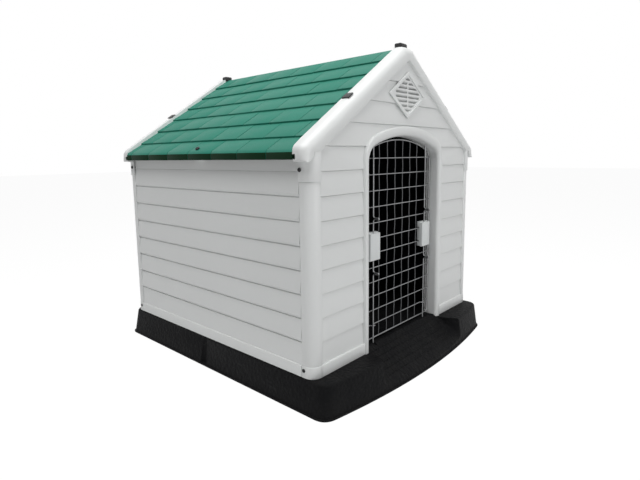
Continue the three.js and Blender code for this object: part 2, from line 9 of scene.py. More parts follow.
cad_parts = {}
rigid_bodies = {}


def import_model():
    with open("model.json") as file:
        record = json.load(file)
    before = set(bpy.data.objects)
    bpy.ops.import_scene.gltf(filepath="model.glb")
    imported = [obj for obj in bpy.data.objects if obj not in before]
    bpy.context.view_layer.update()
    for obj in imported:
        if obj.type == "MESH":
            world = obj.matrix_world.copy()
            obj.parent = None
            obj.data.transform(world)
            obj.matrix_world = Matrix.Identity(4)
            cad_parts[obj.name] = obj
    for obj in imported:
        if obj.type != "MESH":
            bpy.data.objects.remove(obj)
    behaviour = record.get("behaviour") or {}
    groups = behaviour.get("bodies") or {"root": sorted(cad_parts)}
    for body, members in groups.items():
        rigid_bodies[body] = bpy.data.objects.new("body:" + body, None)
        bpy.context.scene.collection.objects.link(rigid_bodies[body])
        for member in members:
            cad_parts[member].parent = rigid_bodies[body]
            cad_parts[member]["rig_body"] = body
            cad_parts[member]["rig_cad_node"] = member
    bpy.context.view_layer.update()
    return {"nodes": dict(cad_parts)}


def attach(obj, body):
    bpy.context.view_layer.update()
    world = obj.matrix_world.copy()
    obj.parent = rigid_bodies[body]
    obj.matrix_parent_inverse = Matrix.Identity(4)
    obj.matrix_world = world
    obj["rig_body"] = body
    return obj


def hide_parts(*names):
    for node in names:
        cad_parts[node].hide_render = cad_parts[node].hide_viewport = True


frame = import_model()
print("frame loaded with", len(frame["nodes"]), "nodes")

# Metres. +Z is up, the door faces -Y, the origin is on the ground under the tray.
house = {
    "halfWidth": 0.425, "front": -0.405, "rear": 0.475, "floor": 0.086, "ridge": 0.947,
    "roofSlope": 0.668,
}
rodLine = {"x": 0.143, "y": -0.3825, "holeRadius": 0.0026, "slotWidth": 0.0052}  # latch rods
middleY = (house["front"] + house["rear"]) / 2
slopeAngle = math.atan(house["roofSlope"])
slopeCos, slopeSin = math.cos(slopeAngle), math.sin(slopeAngle)


# Bench tools

def clearSelection():
    if bpy.context.object and bpy.context.object.mode != "OBJECT":
        bpy.ops.object.mode_set(mode="OBJECT")
    bpy.ops.object.select_all(action="DESELECT")


def pickUp(*pieces):
    clearSelection()
    for piece in pieces:
        piece.select_set(True)
    bpy.context.view_layer.objects.active = pieces[0]


def startShape(name, kind, **settings):
    clearSelection()
    getattr(bpy.ops.mesh, f"primitive_{kind}_add")(**settings)
    piece = bpy.context.object
    piece.name = piece.data.name = name
    bpy.ops.object.transform_apply(location=True, rotation=True, scale=True)
    return piece


def openEdit(piece, selected="SELECT"):
    pickUp(piece)
    bpy.ops.object.mode_set(mode="EDIT")
    bpy.ops.mesh.select_all(action=selected)


def closeEdit():
    bpy.ops.object.mode_set(mode="OBJECT")


def choose(piece, kind, test):  # selects vertices, edges or faces by their place
    bpy.ops.mesh.select_mode(type=kind)
    bpy.ops.mesh.select_all(action="DESELECT")
    work = bmesh.from_edit_mesh(piece.data)
    parts = {"VERT": work.verts, "EDGE": work.edges, "FACE": work.faces}[kind]
    found = [part for part in parts if test(part)]
    for part in found:
        part.select_set(True)
    bmesh.update_edit_mesh(piece.data)
    return len(found)


def traceOutline(name, points):  # a single vertex, extruded from point to point
    piece = startShape(name, "plane", size=0.01, location=points[0])
    openEdit(piece)
    bpy.ops.mesh.merge(type="CENTER")
    for here, there in zip(points, points[1:]):
        step = [b - a for a, b in zip(here, there)]
        bpy.ops.mesh.extrude_region_move(TRANSFORM_OT_translate={"value": step})
    bpy.ops.mesh.select_all(action="SELECT")
    return piece


def pullOut(name, points, run):  # a closed outline, filled and drawn out along a line
    piece = traceOutline(name, points)
    bpy.ops.mesh.edge_face_add()
    bpy.ops.mesh.extrude_region_move(TRANSFORM_OT_translate={"value": run})
    bpy.ops.mesh.select_all(action="SELECT")
    bpy.ops.mesh.normals_make_consistent(inside=False)
    closeEdit()
    return piece


def sweep(name, stations):  # an outline drawn out through the stations of a path
    piece = traceOutline(name, stations[0])
    bpy.ops.mesh.edge_face_add()
    for here, there in zip(stations, stations[1:]):
        bpy.ops.mesh.extrude_region_move(TRANSFORM_OT_translate={"value": (0, 0, 0)})
        work = bmesh.from_edit_mesh(piece.data)
        moving = [v for v in work.verts if v.select]
        for vert in moving:
            gaps = [(vert.co - Vector(place)).length_squared for place in here]
            nearest = gaps.index(min(gaps))
            vert.co = there[nearest]
        bmesh.update_edit_mesh(piece.data)
    bpy.ops.mesh.select_all(action="SELECT")
    bpy.ops.mesh.normals_make_consistent(inside=False)
    closeEdit()
    return piece


def edgeSection(start, end, front, back, startRound, endRound):  # a strip with two soft edges
    wide = math.hypot(end[0] - start[0], end[1] - start[1])
    first, last = min(startRound, wide * 0.6), min(endRound, wide * 0.25)
    line = [(0, back)] + [(first + a, front + first + b) for a, b in
                          arcPoints(0, 0, first, 180, 270, 8)]
    line += [(wide - last + a, front + last + b) for a, b in arcPoints(0, 0, last, 270, 360, 3)]
    line += [(wide, back)]
    return [(start[0] + (end[0] - start[0]) * s / wide, y,
             start[1] + (end[1] - start[1]) * s / wide) for s, y in line]


def roundOff(piece, test, offset, segments):  # bevels the edges that pass the test
    openEdit(piece)
    if choose(piece, "EDGE", test):
        bpy.ops.mesh.bevel(offset=offset, segments=segments, affect="EDGES", clamp_overlap=False)
    bpy.ops.mesh.select_mode(type="VERT")
    closeEdit()
    return piece


def applied(piece, kind, **settings):
    modifier = piece.modifiers.new(kind.lower(), kind)
    for key, value in settings.items():
        setattr(modifier, key, value)
    pickUp(piece)
    bpy.ops.object.modifier_apply(modifier=modifier.name)
    return piece


def soften(piece, width, segments=2, angle=40):
    return applied(piece, "BEVEL", width=width, segments=segments, limit_method="ANGLE",
                   angle_limit=math.radians(angle), use_clamp_overlap=True)


def carve(piece, cutter, operation="DIFFERENCE"):
    applied(piece, "BOOLEAN", object=cutter, operation=operation, solver="EXACT")
    bpy.data.objects.remove(cutter)
    return piece


def cutBeyond(piece, point, direction):  # removes what lies past a plane
    openEdit(piece)
    bpy.ops.mesh.bisect(plane_co=point, plane_no=direction, use_fill=True, clear_outer=True)
    closeEdit()
    return piece


def joinUp(name, *pieces):
    pickUp(*pieces)
    bpy.ops.object.join()
    pieces[0].name = pieces[0].data.name = name
    return pieces[0]


def copyOf(piece, name, placing=None):
    twin = piece.copy()
    twin.data = piece.data.copy()
    twin.name = twin.data.name = name
    bpy.context.scene.collection.objects.link(twin)
    if placing:
        twin.data.transform(placing)
        if placing.determinant() < 0:
            twin.data.flip_normals()
    return twin


def mirrorX():
    return Matrix.Scale(-1, 4, (1, 0, 0))


def turnRound():  # half a turn about the middle of the house
    middle = Matrix.Translation((0, middleY, 0))
    return middle @ Matrix.Rotation(math.pi, 4, "Z") @ middle.inverted()


def arcPoints(x, y, radius, start, end, steps):  # angles in degrees
    turn = [math.radians(start + (end - start) * i / steps) for i in range(steps + 1)]
    return [(x + radius * math.cos(a), y + radius * math.sin(a)) for a in turn]


def refined(name, node, width, segments=2, angle=35):  # a CAD node with softened edges
    piece = frame["nodes"][node].copy()
    piece.data = piece.data.copy()
    piece.parent = None
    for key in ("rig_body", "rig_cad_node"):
        del piece[key]
    piece.name = piece.data.name = name
    piece.data.materials.clear()
    bpy.context.scene.collection.objects.link(piece)
    openEdit(piece)
    bpy.ops.mesh.remove_doubles(threshold=0.00001)
    bpy.ops.mesh.dissolve_limited(angle_limit=math.radians(1.5))
    closeEdit()
    return soften(piece, width, segments, angle)


def finishPiece(piece, body, material, slot, *nodes, angle=35):
    if not piece.data.materials:
        piece.data.materials.append(material)
    pickUp(piece)
    bpy.ops.object.shade_smooth_by_angle(angle=math.radians(angle))
    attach(piece, body)
    if nodes:
        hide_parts(*nodes)
    return piece


# Shader groups

def newGroup(name, inputs, outputs):
    group = bpy.data.node_groups.new(name, "ShaderNodeTree")
    for title, kind, value in inputs:
        socket = group.interface.new_socket(title, in_out="INPUT", socket_type=kind)
        if value is not None:
            socket.default_value = value
    for title, kind in outputs:
        group.interface.new_socket(title, in_out="OUTPUT", socket_type=kind)
    return group, group.nodes.new("NodeGroupInput"), group.nodes.new("NodeGroupOutput")


def addNode(tree, kind, **settings):
    node = tree.nodes.new(kind)
    for key, value in settings.items():
        setattr(node, key, value)
    return node


def addMath(tree, operation, first, second=None, clamp=False):
    node = addNode(tree, "ShaderNodeMath", operation=operation, use_clamp=clamp)
    for socket, value in zip(node.inputs, (first, second)):
        if value is None:
            continue
        if isinstance(value, (int, float)):
            socket.default_value = value
        else:
            tree.links.new(value, socket)
    return node.outputs[0]


def addNoise(tree, vector, scale, detail=3.0, roughness=0.5):
    node = addNode(tree, "ShaderNodeTexNoise")
    tree.links.new(vector, node.inputs["Vector"])
    node.inputs["Detail"].default_value = detail
    node.inputs["Roughness"].default_value = roughness
    if isinstance(scale, (int, float)):
        node.inputs["Scale"].default_value = scale
    else:
        tree.links.new(scale, node.inputs["Scale"])
    return node.outputs["Fac"]


def addMix(tree, amount, first, second):
    node = addNode(tree, "ShaderNodeMix", data_type="RGBA")
    for name, value in (("Factor_Float", amount), ("A_Color", first), ("B_Color", second)):
        socket = next(s for s in node.inputs if s.identifier == name)
        if isinstance(value, (int, float)):
            socket.default_value = value
        elif isinstance(value, tuple):
            socket.default_value = value
        else:
            tree.links.new(value, socket)
    return next(s for s in node.outputs if s.identifier == "Result_Color")


def makeToneGroup():  # slow cloudy change of colour, as in moulded plastic
    group, inward, outward = newGroup(
        "mouldedTone",
        [("Vector", "NodeSocketVector", None), ("Colour", "NodeSocketColor", None),
         ("Scale", "NodeSocketFloat", 4.0), ("Shift", "NodeSocketFloat", 0.05)],
        [("Colour", "NodeSocketColor"), ("Cloud", "NodeSocketFloat")])
    slow = addNoise(group, inward.outputs["Vector"], inward.outputs["Scale"], 2.0)
    quick = addNoise(group, inward.outputs["Vector"], 60.0, 4.0, 0.65)
    cloud = addMath(group, "ADD", addMath(group, "MULTIPLY", slow, 0.7),
                    addMath(group, "MULTIPLY", quick, 0.3))
    swing = addMath(group, "SUBTRACT", cloud, 0.5)
    value = addMath(group, "ADD", addMath(
        group, "MULTIPLY", addMath(group, "MULTIPLY", swing, 3.0), inward.outputs["Shift"]), 1.0)
    tint = addNode(group, "ShaderNodeHueSaturation")
    group.links.new(inward.outputs["Colour"], tint.inputs["Color"])
    group.links.new(value, tint.inputs["Value"])
    group.links.new(tint.outputs["Color"], outward.inputs["Colour"])
    group.links.new(cloud, outward.inputs["Cloud"])
    return group


def makeGrainGroup():  # spark-eroded mould grain with shallow sink marks
    group, inward, outward = newGroup(
        "mouldGrain",
        [("Vector", "NodeSocketVector", None), ("Scale", "NodeSocketFloat", 700.0),
         ("Sink", "NodeSocketFloat", 0.5)],
        [("Height", "NodeSocketFloat")])
    fine = addNoise(group, inward.outputs["Vector"], inward.outputs["Scale"], 2.0, 0.6)
    broad = addNoise(group, inward.outputs["Vector"], 14.0, 1.0, 0.4)
    sink = addMath(group, "MULTIPLY", broad, inward.outputs["Sink"])
    group.links.new(addMath(group, "ADD", fine, sink), outward.inputs["Height"])
    return group


def makeDustGroup():  # dust on what faces upwards, thicker near the ground
    group, inward, outward = newGroup(
        "settledDust",
        [("Vector", "NodeSocketVector", None), ("Normal", "NodeSocketVector", None),
         ("Amount", "NodeSocketFloat", 0.2), ("Splash", "NodeSocketFloat", 0.1)],
        [("Mask", "NodeSocketFloat")])
    facing = addNode(group, "ShaderNodeSeparateXYZ")
    group.links.new(inward.outputs["Normal"], facing.inputs[0])
    place = addNode(group, "ShaderNodeSeparateXYZ")
    group.links.new(inward.outputs["Vector"], place.inputs[0])
    upward = addMath(group, "MULTIPLY", addMath(group, "SUBTRACT", facing.outputs["Z"], 0.25), 1.3,
                     clamp=True)
    patch = addNoise(group, inward.outputs["Vector"], 18.0, 5.0, 0.7)
    thick = addMath(group, "MULTIPLY", addMath(group, "SUBTRACT", patch, 0.35), 2.2, clamp=True)
    dust = addMath(group, "MULTIPLY", addMath(group, "MULTIPLY", upward, thick),
                   inward.outputs["Amount"])
    low = addMath(group, "SUBTRACT", 1.0, addMath(
        group, "MULTIPLY", place.outputs["Z"], 5.0), clamp=True)
    splash = addMath(group, "MULTIPLY", addMath(group, "MULTIPLY", low, thick),
                     inward.outputs["Splash"])
    group.links.new(addMath(group, "ADD", dust, splash, clamp=True), outward.inputs["Mask"])
    return group


def makeScuffGroup():  # short rubbed marks from handling
    group, inward, outward = newGroup(
        "handlingScuffs",
        [("Vector", "NodeSocketVector", None), ("Scale", "NodeSocketFloat", 9.0),
         ("Amount", "NodeSocketFloat", 0.2)],
        [("Mask", "NodeSocketFloat")])
    stretch = addNode(group, "ShaderNodeMapping")
    stretch.inputs["Scale"].default_value = (1.0, 0.16, 1.3)
    stretch.inputs["Rotation"].default_value = (0.3, 0.5, 0.2)
    group.links.new(inward.outputs["Vector"], stretch.inputs["Vector"])
    lines = addNoise(group, stretch.outputs[0], addMath(
        group, "MULTIPLY", inward.outputs["Scale"], 14.0), 3.0, 0.7)
    place = addNoise(group, inward.outputs["Vector"], inward.outputs["Scale"], 1.0)
    sharp = addMath(group, "MULTIPLY", addMath(group, "SUBTRACT", lines, 0.6), 9.0, clamp=True)
    rare = addMath(group, "MULTIPLY", addMath(group, "SUBTRACT", place, 0.52), 8.0, clamp=True)
    mask = addMath(group, "MULTIPLY", addMath(group, "MULTIPLY", sharp, rare),
                   inward.outputs["Amount"])
    group.links.new(mask, outward.inputs["Mask"])
    return group


groups = {"tone": makeToneGroup(), "grain": makeGrainGroup(), "dust": makeDustGroup(),
          "scuff": makeScuffGroup()}


def useGroup(tree, name, **values):
    node = addNode(tree, "ShaderNodeGroup", node_tree=groups[name])
    for key, value in values.items():
        if isinstance(value, (int, float, tuple)):
            node.inputs[key].default_value = value
        else:
            tree.links.new(value, node.inputs[key])
    return node


def startMaterial(name):
    material = bpy.data.materials.new(name)
    material.use_nodes = True
    shader = material.node_tree.nodes["Principled BSDF"]
    place = addNode(material.node_tree, "ShaderNodeTexCoord")
    return material, material.node_tree, shader, place.outputs["Object"], place.outputs["Normal"]


plastics = {
    "wallWhite": {
        "colour": (0.80, 0.815, 0.81), "tone": 0.03, "toneScale": 3.0, "roughness": 0.34,
        "roughSwing": 0.18, "grain": 620.0, "grainDepth": 0.12, "sink": 0.5, "specular": 0.45,
        "dust": 0.05, "splash": 0.10, "dustColour": (0.50, 0.48, 0.43), "scuffs": 0.10,
        "scuffColour": (0.62, 0.63, 0.63)},
    "latchWhite": {
        "colour": (0.74, 0.765, 0.765), "tone": 0.03, "toneScale": 12.0, "roughness": 0.32,
        "roughSwing": 0.15, "grain": 900.0, "grainDepth": 0.08, "sink": 0.2, "specular": 0.45,
        "dust": 0.05, "splash": 0.0, "dustColour": (0.5, 0.48, 0.43), "scuffs": 0.25,
        "scuffColour": (0.5, 0.51, 0.51)},
    # painted shade: a near-black plastic that stands for the shadow inside the house
    "paintedShadeInside": {
        "colour": (0.012, 0.013, 0.014), "tone": 0.2, "toneScale": 3.0, "roughness": 0.75,
        "roughSwing": 0.1, "grain": 500.0, "grainDepth": 0.1, "sink": 0.5, "specular": 0.1,
        "dust": 0.0, "splash": 0.0, "dustColour": (0.1, 0.1, 0.1), "scuffs": 0.1,
        "scuffColour": (0.04, 0.04, 0.04)},
    "trayBlack": {
        "colour": (0.0040, 0.0042, 0.0048), "tone": 0.18, "toneScale": 5.0, "roughness": 0.58,
        "roughSwing": 0.2, "grain": 420.0, "grainDepth": 0.75, "sink": 0.4, "specular": 0.07,
        "dust": 0.05, "splash": 0.05, "dustColour": (0.10, 0.095, 0.088), "scuffs": 0.25,
        "scuffColour": (0.045, 0.045, 0.046), "pebbles": 105.0, "pebbleDepth": 1.6},
    "clipBlack": {
        "colour": (0.008, 0.008, 0.009), "tone": 0.15, "toneScale": 20.0, "roughness": 0.42,
        "roughSwing": 0.15, "grain": 900.0, "grainDepth": 0.15, "sink": 0.2, "specular": 0.4,
        "dust": 0.10, "splash": 0.0, "dustColour": (0.13, 0.125, 0.12), "scuffs": 0.3,
        "scuffColour": (0.06, 0.06, 0.06)},
}


def makePlastic(name):
    values = plastics[name]
    material, tree, shader, place, normal = startMaterial(name)
    base = (*values["colour"], 1.0)
    tone = useGroup(tree, "tone", Vector=place, Colour=base, Scale=values["toneScale"],
                    Shift=values["tone"])
    dust = useGroup(tree, "dust", Vector=place, Normal=normal, Amount=values["dust"],
                    Splash=values["splash"])
    scuff = useGroup(tree, "scuff", Vector=place, Scale=9.0, Amount=values["scuffs"])
    rubbed = addMix(tree, scuff.outputs["Mask"], tone.outputs["Colour"],
                    (*values["scuffColour"], 1.0))
    dusty = addMix(tree, dust.outputs["Mask"], rubbed, (*values["dustColour"], 1.0))
    tree.links.new(dusty, shader.inputs["Base Color"])
    swing = addMath(tree, "MULTIPLY", addMath(tree, "SUBTRACT", tone.outputs["Cloud"], 0.5),
                    values["roughSwing"])
    rough = addMath(tree, "ADD", addMath(tree, "ADD", swing, values["roughness"]),
                    addMath(tree, "MULTIPLY", dust.outputs["Mask"], 0.4))
    tree.links.new(rough, shader.inputs["Roughness"])
    shader.inputs["Specular IOR Level"].default_value = values["specular"]
    grain = useGroup(tree, "grain", Vector=place, Scale=values["grain"], Sink=values["sink"])
    height = grain.outputs["Height"]
    if "pebbles" in values:
        cells = addNode(tree, "ShaderNodeTexVoronoi", feature="SMOOTH_F1")
        cells.inputs["Scale"].default_value = values["pebbles"]
        tree.links.new(place, cells.inputs["Vector"])
        height = addMath(tree, "ADD", height, addMath(
            tree, "MULTIPLY", cells.outputs["Distance"], values["pebbleDepth"]))
    bump = addNode(tree, "ShaderNodeBump")
    bump.inputs["Strength"].default_value = values["grainDepth"]
    bump.inputs["Distance"].default_value = 0.002
    tree.links.new(height, bump.inputs["Height"])
    tree.links.new(bump.outputs["Normal"], shader.inputs["Normal"])
    return material


# the "eave" colour is the same roof green darkened, painted shade of the fascia's vertical face
roofPaint = {"top": (0.027, 0.205, 0.146), "eave": (0.0050, 0.0250, 0.0105), "tabSwing": 0.09,
             "topGloss": 0.16, "eaveGloss": 0.05, "tone": 0.06, "toneScale": 2.5, "dust": 0.10,
             "dustColour": (0.24, 0.26, 0.25), "roughness": 0.44, "roughSwing": 0.15,
             "grain": 380.0, "grainDepth": 0.2, "sink": 0.7}


def makeRoofPlastic(name, colour, gloss):
    material, tree, shader, place, normal = startMaterial(name)
    tab = addNode(tree, "ShaderNodeAttribute", attribute_name="tabTone")
    tone = useGroup(tree, "tone", Vector=place, Colour=(*colour, 1.0),
                    Scale=roofPaint["toneScale"], Shift=roofPaint["tone"])
    tint = addNode(tree, "ShaderNodeHueSaturation")
    tree.links.new(tone.outputs["Colour"], tint.inputs["Color"])
    swing = addMath(tree, "MULTIPLY", addMath(tree, "SUBTRACT", tab.outputs["Fac"], 0.5),
                    roofPaint["tabSwing"])
    tree.links.new(addMath(tree, "ADD", swing, 1.0), tint.inputs["Value"])
    tree.links.new(addMath(tree, "SUBTRACT", 1.0, swing), tint.inputs["Saturation"])
    dust = useGroup(tree, "dust", Vector=place, Normal=normal, Amount=roofPaint["dust"],
                    Splash=0.0)
    dusty = addMix(tree, dust.outputs["Mask"], tint.outputs["Color"],
                   (*roofPaint["dustColour"], 1.0))
    tree.links.new(dusty, shader.inputs["Base Color"])
    swing = addMath(tree, "MULTIPLY", tone.outputs["Cloud"], roofPaint["roughSwing"])
    rough = addMath(tree, "ADD", swing, roofPaint["roughness"])
    tree.links.new(rough, shader.inputs["Roughness"])
    shader.inputs["Specular IOR Level"].default_value = gloss
    grain = useGroup(tree, "grain", Vector=place, Scale=roofPaint["grain"],
                     Sink=roofPaint["sink"])
    bump = addNode(tree, "ShaderNodeBump")
    bump.inputs["Strength"].default_value = roofPaint["grainDepth"]
    bump.inputs["Distance"].default_value = 0.002
    tree.links.new(grain.outputs["Height"], bump.inputs["Height"])
    tree.links.new(bump.outputs["Normal"], shader.inputs["Normal"])
    return material


steels = {
    # the first wire is the same galvanised steel darkened, painted shade for the uprights behind
    # the cross wires
    "shadedWire": {"colour": (0.105, 0.108, 0.112), "roughness": 0.45, "spangle": 160.0},
    "brightWire": {"colour": (0.34, 0.345, 0.35), "roughness": 0.38, "spangle": 220.0},
    "springSteel": {"colour": (0.45, 0.45, 0.46), "roughness": 0.25, "spangle": 500.0},
}
zinc = {"tone": 0.18, "toneScale": 30.0, "patch": 0.35, "patchColour": (0.14, 0.14, 0.15),
        "roughSwing": 0.25, "metallic": 0.85, "grain": 1500.0, "grainDepth": 0.15, "sink": 0.3}


def makeSteel(name):  # drawn and galvanised wire, with dull zinc patches
    values = steels[name]
    material, tree, shader, place, _ = startMaterial(name)
    tone = useGroup(tree, "tone", Vector=place, Colour=(*values["colour"], 1.0),
                    Scale=zinc["toneScale"], Shift=zinc["tone"])
    cells = addNode(tree, "ShaderNodeTexVoronoi")
    cells.inputs["Scale"].default_value = values["spangle"]
    tree.links.new(place, cells.inputs["Vector"])
    spot = addMath(tree, "MULTIPLY", cells.outputs["Distance"], zinc["patch"], clamp=True)
    colour = addMix(tree, spot, tone.outputs["Colour"], (*zinc["patchColour"], 1.0))
    tree.links.new(colour, shader.inputs["Base Color"])
    swing = addMath(tree, "MULTIPLY", tone.outputs["Cloud"], zinc["roughSwing"])
    rough = addMath(tree, "ADD", swing, values["roughness"] - 0.12)
    tree.links.new(rough, shader.inputs["Roughness"])
    shader.inputs["Metallic"].default_value = zinc["metallic"]
    grain = useGroup(tree, "grain", Vector=place, Scale=zinc["grain"], Sink=zinc["sink"])
    bump = addNode(tree, "ShaderNodeBump")
    bump.inputs["Strength"].default_value = zinc["grainDepth"]
    bump.inputs["Distance"].default_value = 0.001
    tree.links.new(grain.outputs["Height"], bump.inputs["Height"])
    tree.links.new(bump.outputs["Normal"], shader.inputs["Normal"])
    return material


wallWhite, latchWhite, paintedShadeInside, trayBlack, clipBlack = (makePlastic(n) for n in plastics)
roofGreen = makeRoofPlastic("roofGreen", roofPaint["top"], roofPaint["topGloss"])
eaveShadeGreen = makeRoofPlastic("eaveShadeGreen", roofPaint["eave"], roofPaint["eaveGloss"])
shadedWire, brightWire, springSteel = (makeSteel(n) for n in steels)
print("materials made")


# Walls

boards = {
    "bandTop": 0.117, "firstLine": 0.176, "pitch": 0.0606, "proud": 0.0035, "recess": 0.0075,
    "back": 0.012, "sideRound": 0.0100, "frontRound": 0.0022, "bandProud": 0.0012,
    "sideGap": 0.0012, "frontGap": 0.0014, "gapDepth": 0.0025, "creaseFrom": 0.59,
    "creaseDepth": 0.0012, "creaseHalf": 0.0008, "seam": 0.0012, "frontHalf": 0.3965,
    "sideTop": 0.640, "shelf": 0.004, "underRoof": 0.0076,
}
lug = {"x": 0.429, "z": 0.641, "size": (0.020, 0.024, 0.026)}
post = {
    "face": 0.037, "side": 0.039, "skin": 0.006, "top": 0.650, "capBottom": 0.577,
    "capProud": 0.003, "cornerRadius": 0.028, "edgeRound": 0.004,
}


def boardOutline(top, proud, radius, gap):  # (depth behind the wall face, height), upwards
    band = -boards["bandProud"]
    line = [(band + 0.001, house["floor"]), (band, house["floor"] + 0.001)]
    line += [(band, boards["bandTop"] - 0.002), (band + 0.0008, boards["bandTop"] - 0.0006),
             (band + 0.002, boards["bandTop"])]
    bottom = boards["bandTop"]
    edge = boards["firstLine"]
    deep = boards["recess"] - boards["proud"]
    line.append((proud + 0.0018, bottom))
    turn = 180 + math.degrees(math.acos(max(0, 1 - (deep + boards["gapDepth"]) / radius)))
    while bottom < top:
        end = min(edge, top)
        # each board tucks behind the lip of the next
        if end < top and (proud or end < boards["creaseFrom"]):
            slot = proud + deep + boards["gapDepth"]
            line += [(proud + deep, end - gap), (slot, end - gap * 0.7), (slot, end)]
            line += arcPoints(proud + radius, end + radius, radius, turn, 180, 5)
        elif end < top:  # only a crease under the eave
            crease, half = proud + deep + boards["creaseDepth"], boards["creaseHalf"]
            line += [(proud + deep, end - half), (crease, end), (proud + deep, end + half)]
        else:
            line.append((proud + deep, end))
        bottom = edge
        edge += boards["pitch"]
    return line


def makeSideWall(name):
    top = boards["sideTop"]
    line = boardOutline(top, 0.0, boards["sideRound"], boards["sideGap"])
    ridgeUnder = house["ridge"] - boards["underRoof"] / slopeCos

    def under(x):
        return ridgeUnder - house["roofSlope"] * x

    outer = [(house["halfWidth"] - d, z) for d, z in line]
    inner = house["halfWidth"] - boards["back"]
    shelf = house["halfWidth"] - boards["shelf"]
    outer += [(shelf, top), (shelf, under(shelf)), (inner, under(inner)), (inner, house["floor"])]
    start = house["front"] + post["side"] + boards["seam"]
    run = house["rear"] - post["side"] - boards["seam"] - start
    panel = pullOut(name, [(x, start, z) for x, z in outer], (0, run, 0))
    block = startShape("lug", "cube", size=1, location=(lug["x"], middleY, lug["z"]),
                       scale=lug["size"])
    soften(block, 0.002)
    return joinUp(name, panel, block)


def makePost(name, offset, bottom, top, soft):
    proud = house["front"] - offset
    outerX = house["halfWidth"] + offset
    edge = post["edgeRound"]
    radius = post["cornerRadius"]
    start = house["halfWidth"] - post["face"]
    back = house["front"] + post["side"]
    points = arcPoints(start + edge, proud + edge, edge, 180, 270, 4)
    points += arcPoints(house["halfWidth"] - radius, house["front"] + radius, radius + offset,
                        -90, 0, 10)
    points += [(outerX, back - 0.001), (outerX - 0.001, back), (outerX - post["skin"], back)]
    points += arcPoints(house["halfWidth"] - radius, house["front"] + radius,
                        radius - post["skin"], 0, -90, 6)
    points += [(start, house["front"] + post["skin"] + 0.004)]
    piece = pullOut(name, [(x, y, bottom) for x, y in points], (0, 0, top - bottom))
    return soften(piece, soft, 3, 60)


def makePosts(name):
    column = makePost(name, 0.0, house["floor"], post["capBottom"] + 0.002, 0.0006)
    band = makePost("band", boards["bandProud"], house["floor"], boards["bandTop"], 0.0011)
    cap = makePost("cap", post["capProud"], post["capBottom"], post["top"], 0.0026)
    right = joinUp(name, column, band, cap)
    return joinUp(name, right, copyOf(right, "leftPost", mirrorX()))


trim = {
    "peak": 0.958, "slope": 0.665, "innerPeak": 0.907, "end": 0.447, "endBottom": 0.624,
    "foot": 0.434, "footRadius": 0.022, "innerEnd": 0.391, "top": 0.9455, "front": -0.0035,
    "back": 0.036, "round": 0.024, "innerRound": 0.004, "boardsUnder": 0.020,
}


def makeRakeTrim(name):
    def outer(x):
        return x, trim["peak"] - trim["slope"] * x

    def inner(x):
        return x, trim["innerPeak"] - trim["slope"] * x

    end, low, top = trim["end"], trim["endBottom"], trim["top"]
    shoulder = outer(end)[1]
    foot = arcPoints(trim["foot"], low + trim["footRadius"], trim["footRadius"], 270, 180, 4)
    toeX, toeZ = foot[-1]
    seatX, seatZ = inner(trim["innerEnd"])
    outside = [(end - 0.007, low), (end - 0.002, low + 0.0022), (end, low + 0.007),
               (end, low + 0.016), (end, shoulder - 0.012)]
    outside += [(end - 0.0007, shoulder - 0.0062), (end - 0.0028, shoulder - 0.0018),
                (end - 0.0068, shoulder + 0.0030)]
    outside += [outer(trim["innerEnd"] + 0.0283), outer(0.034), (0.026, top - 0.0030),
                (0.014, top - 0.0007), (0, top)]
    inside = foot + [(toeX + (seatX - toeX) * t, toeZ + (seatZ - toeZ) * t)
                     for t in (0.25, 0.5, 0.75)]
    inside += [(seatX, seatZ), inner(0.012), (0.006, inner(0.006)[1] - 0.0005),
               (0.002, inner(0)[1] - 0.0025), (0, inner(0)[1] - 0.0028)]
    half = list(zip(outside, inside))
    path = half + [((-a[0], a[1]), (-b[0], b[1])) for a, b in reversed(half[:-1])]
    front, back = house["front"] + trim["front"], house["front"] + trim["back"]
    piece = sweep(name, [edgeSection(a, b, front, back, trim["round"], trim["innerRound"])
                         for a, b in path])
    return soften(piece, 0.0025, 3, 55)


arch = {
    "halfWidth": 0.193, "top": 0.691, "crownRadius": 0.450, "shoulderRadius": 0.050,
    "sideRing": 0.0205, "crownRing": 0.028, "front": -0.004, "depth": 0.045, "round": 0.0165,
    "outerRound": 0.0035, "boardsUnder": 0.016, "socketHeight": 0.66, "holeDepth": 0.08,
    "slotY": -0.3972, "slotRun": 0.0346, "slotHeight": 0.028,
}
shoulderX = arch["halfWidth"] - arch["shoulderRadius"]
crownZ = arch["top"] - arch["crownRadius"]
shoulderZ = crownZ + math.sqrt(
    (arch["crownRadius"] - arch["shoulderRadius"]) ** 2 - shoulderX ** 2)
shoulderTurn = math.degrees(math.atan2(shoulderZ - crownZ, shoulderX))


def archLine(offset, crownOffset=None, steps=(8, 16)):  # from right to left over the door
    crown = offset if crownOffset is None else crownOffset
    points = []
    corner = arcPoints(0, 0, 1, 0, shoulderTurn, steps[0])
    for i, (c, s) in enumerate(corner):
        reach = arch["shoulderRadius"] + offset + (crown - offset) * i / steps[0]
        points.append((shoulderX + c * reach, shoulderZ + s * reach))
    over = arcPoints(0, crownZ, arch["crownRadius"] + crown, shoulderTurn, 180 - shoulderTurn,
                     steps[1])
    points += over[1:-1]
    return points + [(-x, z) for x, z in reversed(points[:steps[0] + 1])]


def archHeight(x, offset=0.0):
    return crownZ + math.sqrt((arch["crownRadius"] + offset) ** 2 - x * x)


def makeArchSurround(name):
    base, half = house["floor"], arch["halfWidth"]
    inner = [(half, base)] + archLine(0.0) + [(-half, base)]
    wide = half + arch["sideRing"]
    outer = [(wide, base)] + archLine(arch["sideRing"], arch["crownRing"]) + [(-wide, base)]
    front, back = house["front"] + arch["front"], house["front"] + arch["depth"]
    return sweep(name, [edgeSection(a, b, front, back, arch["round"], arch["outerRound"])
                        for a, b in zip(inner, outer)])


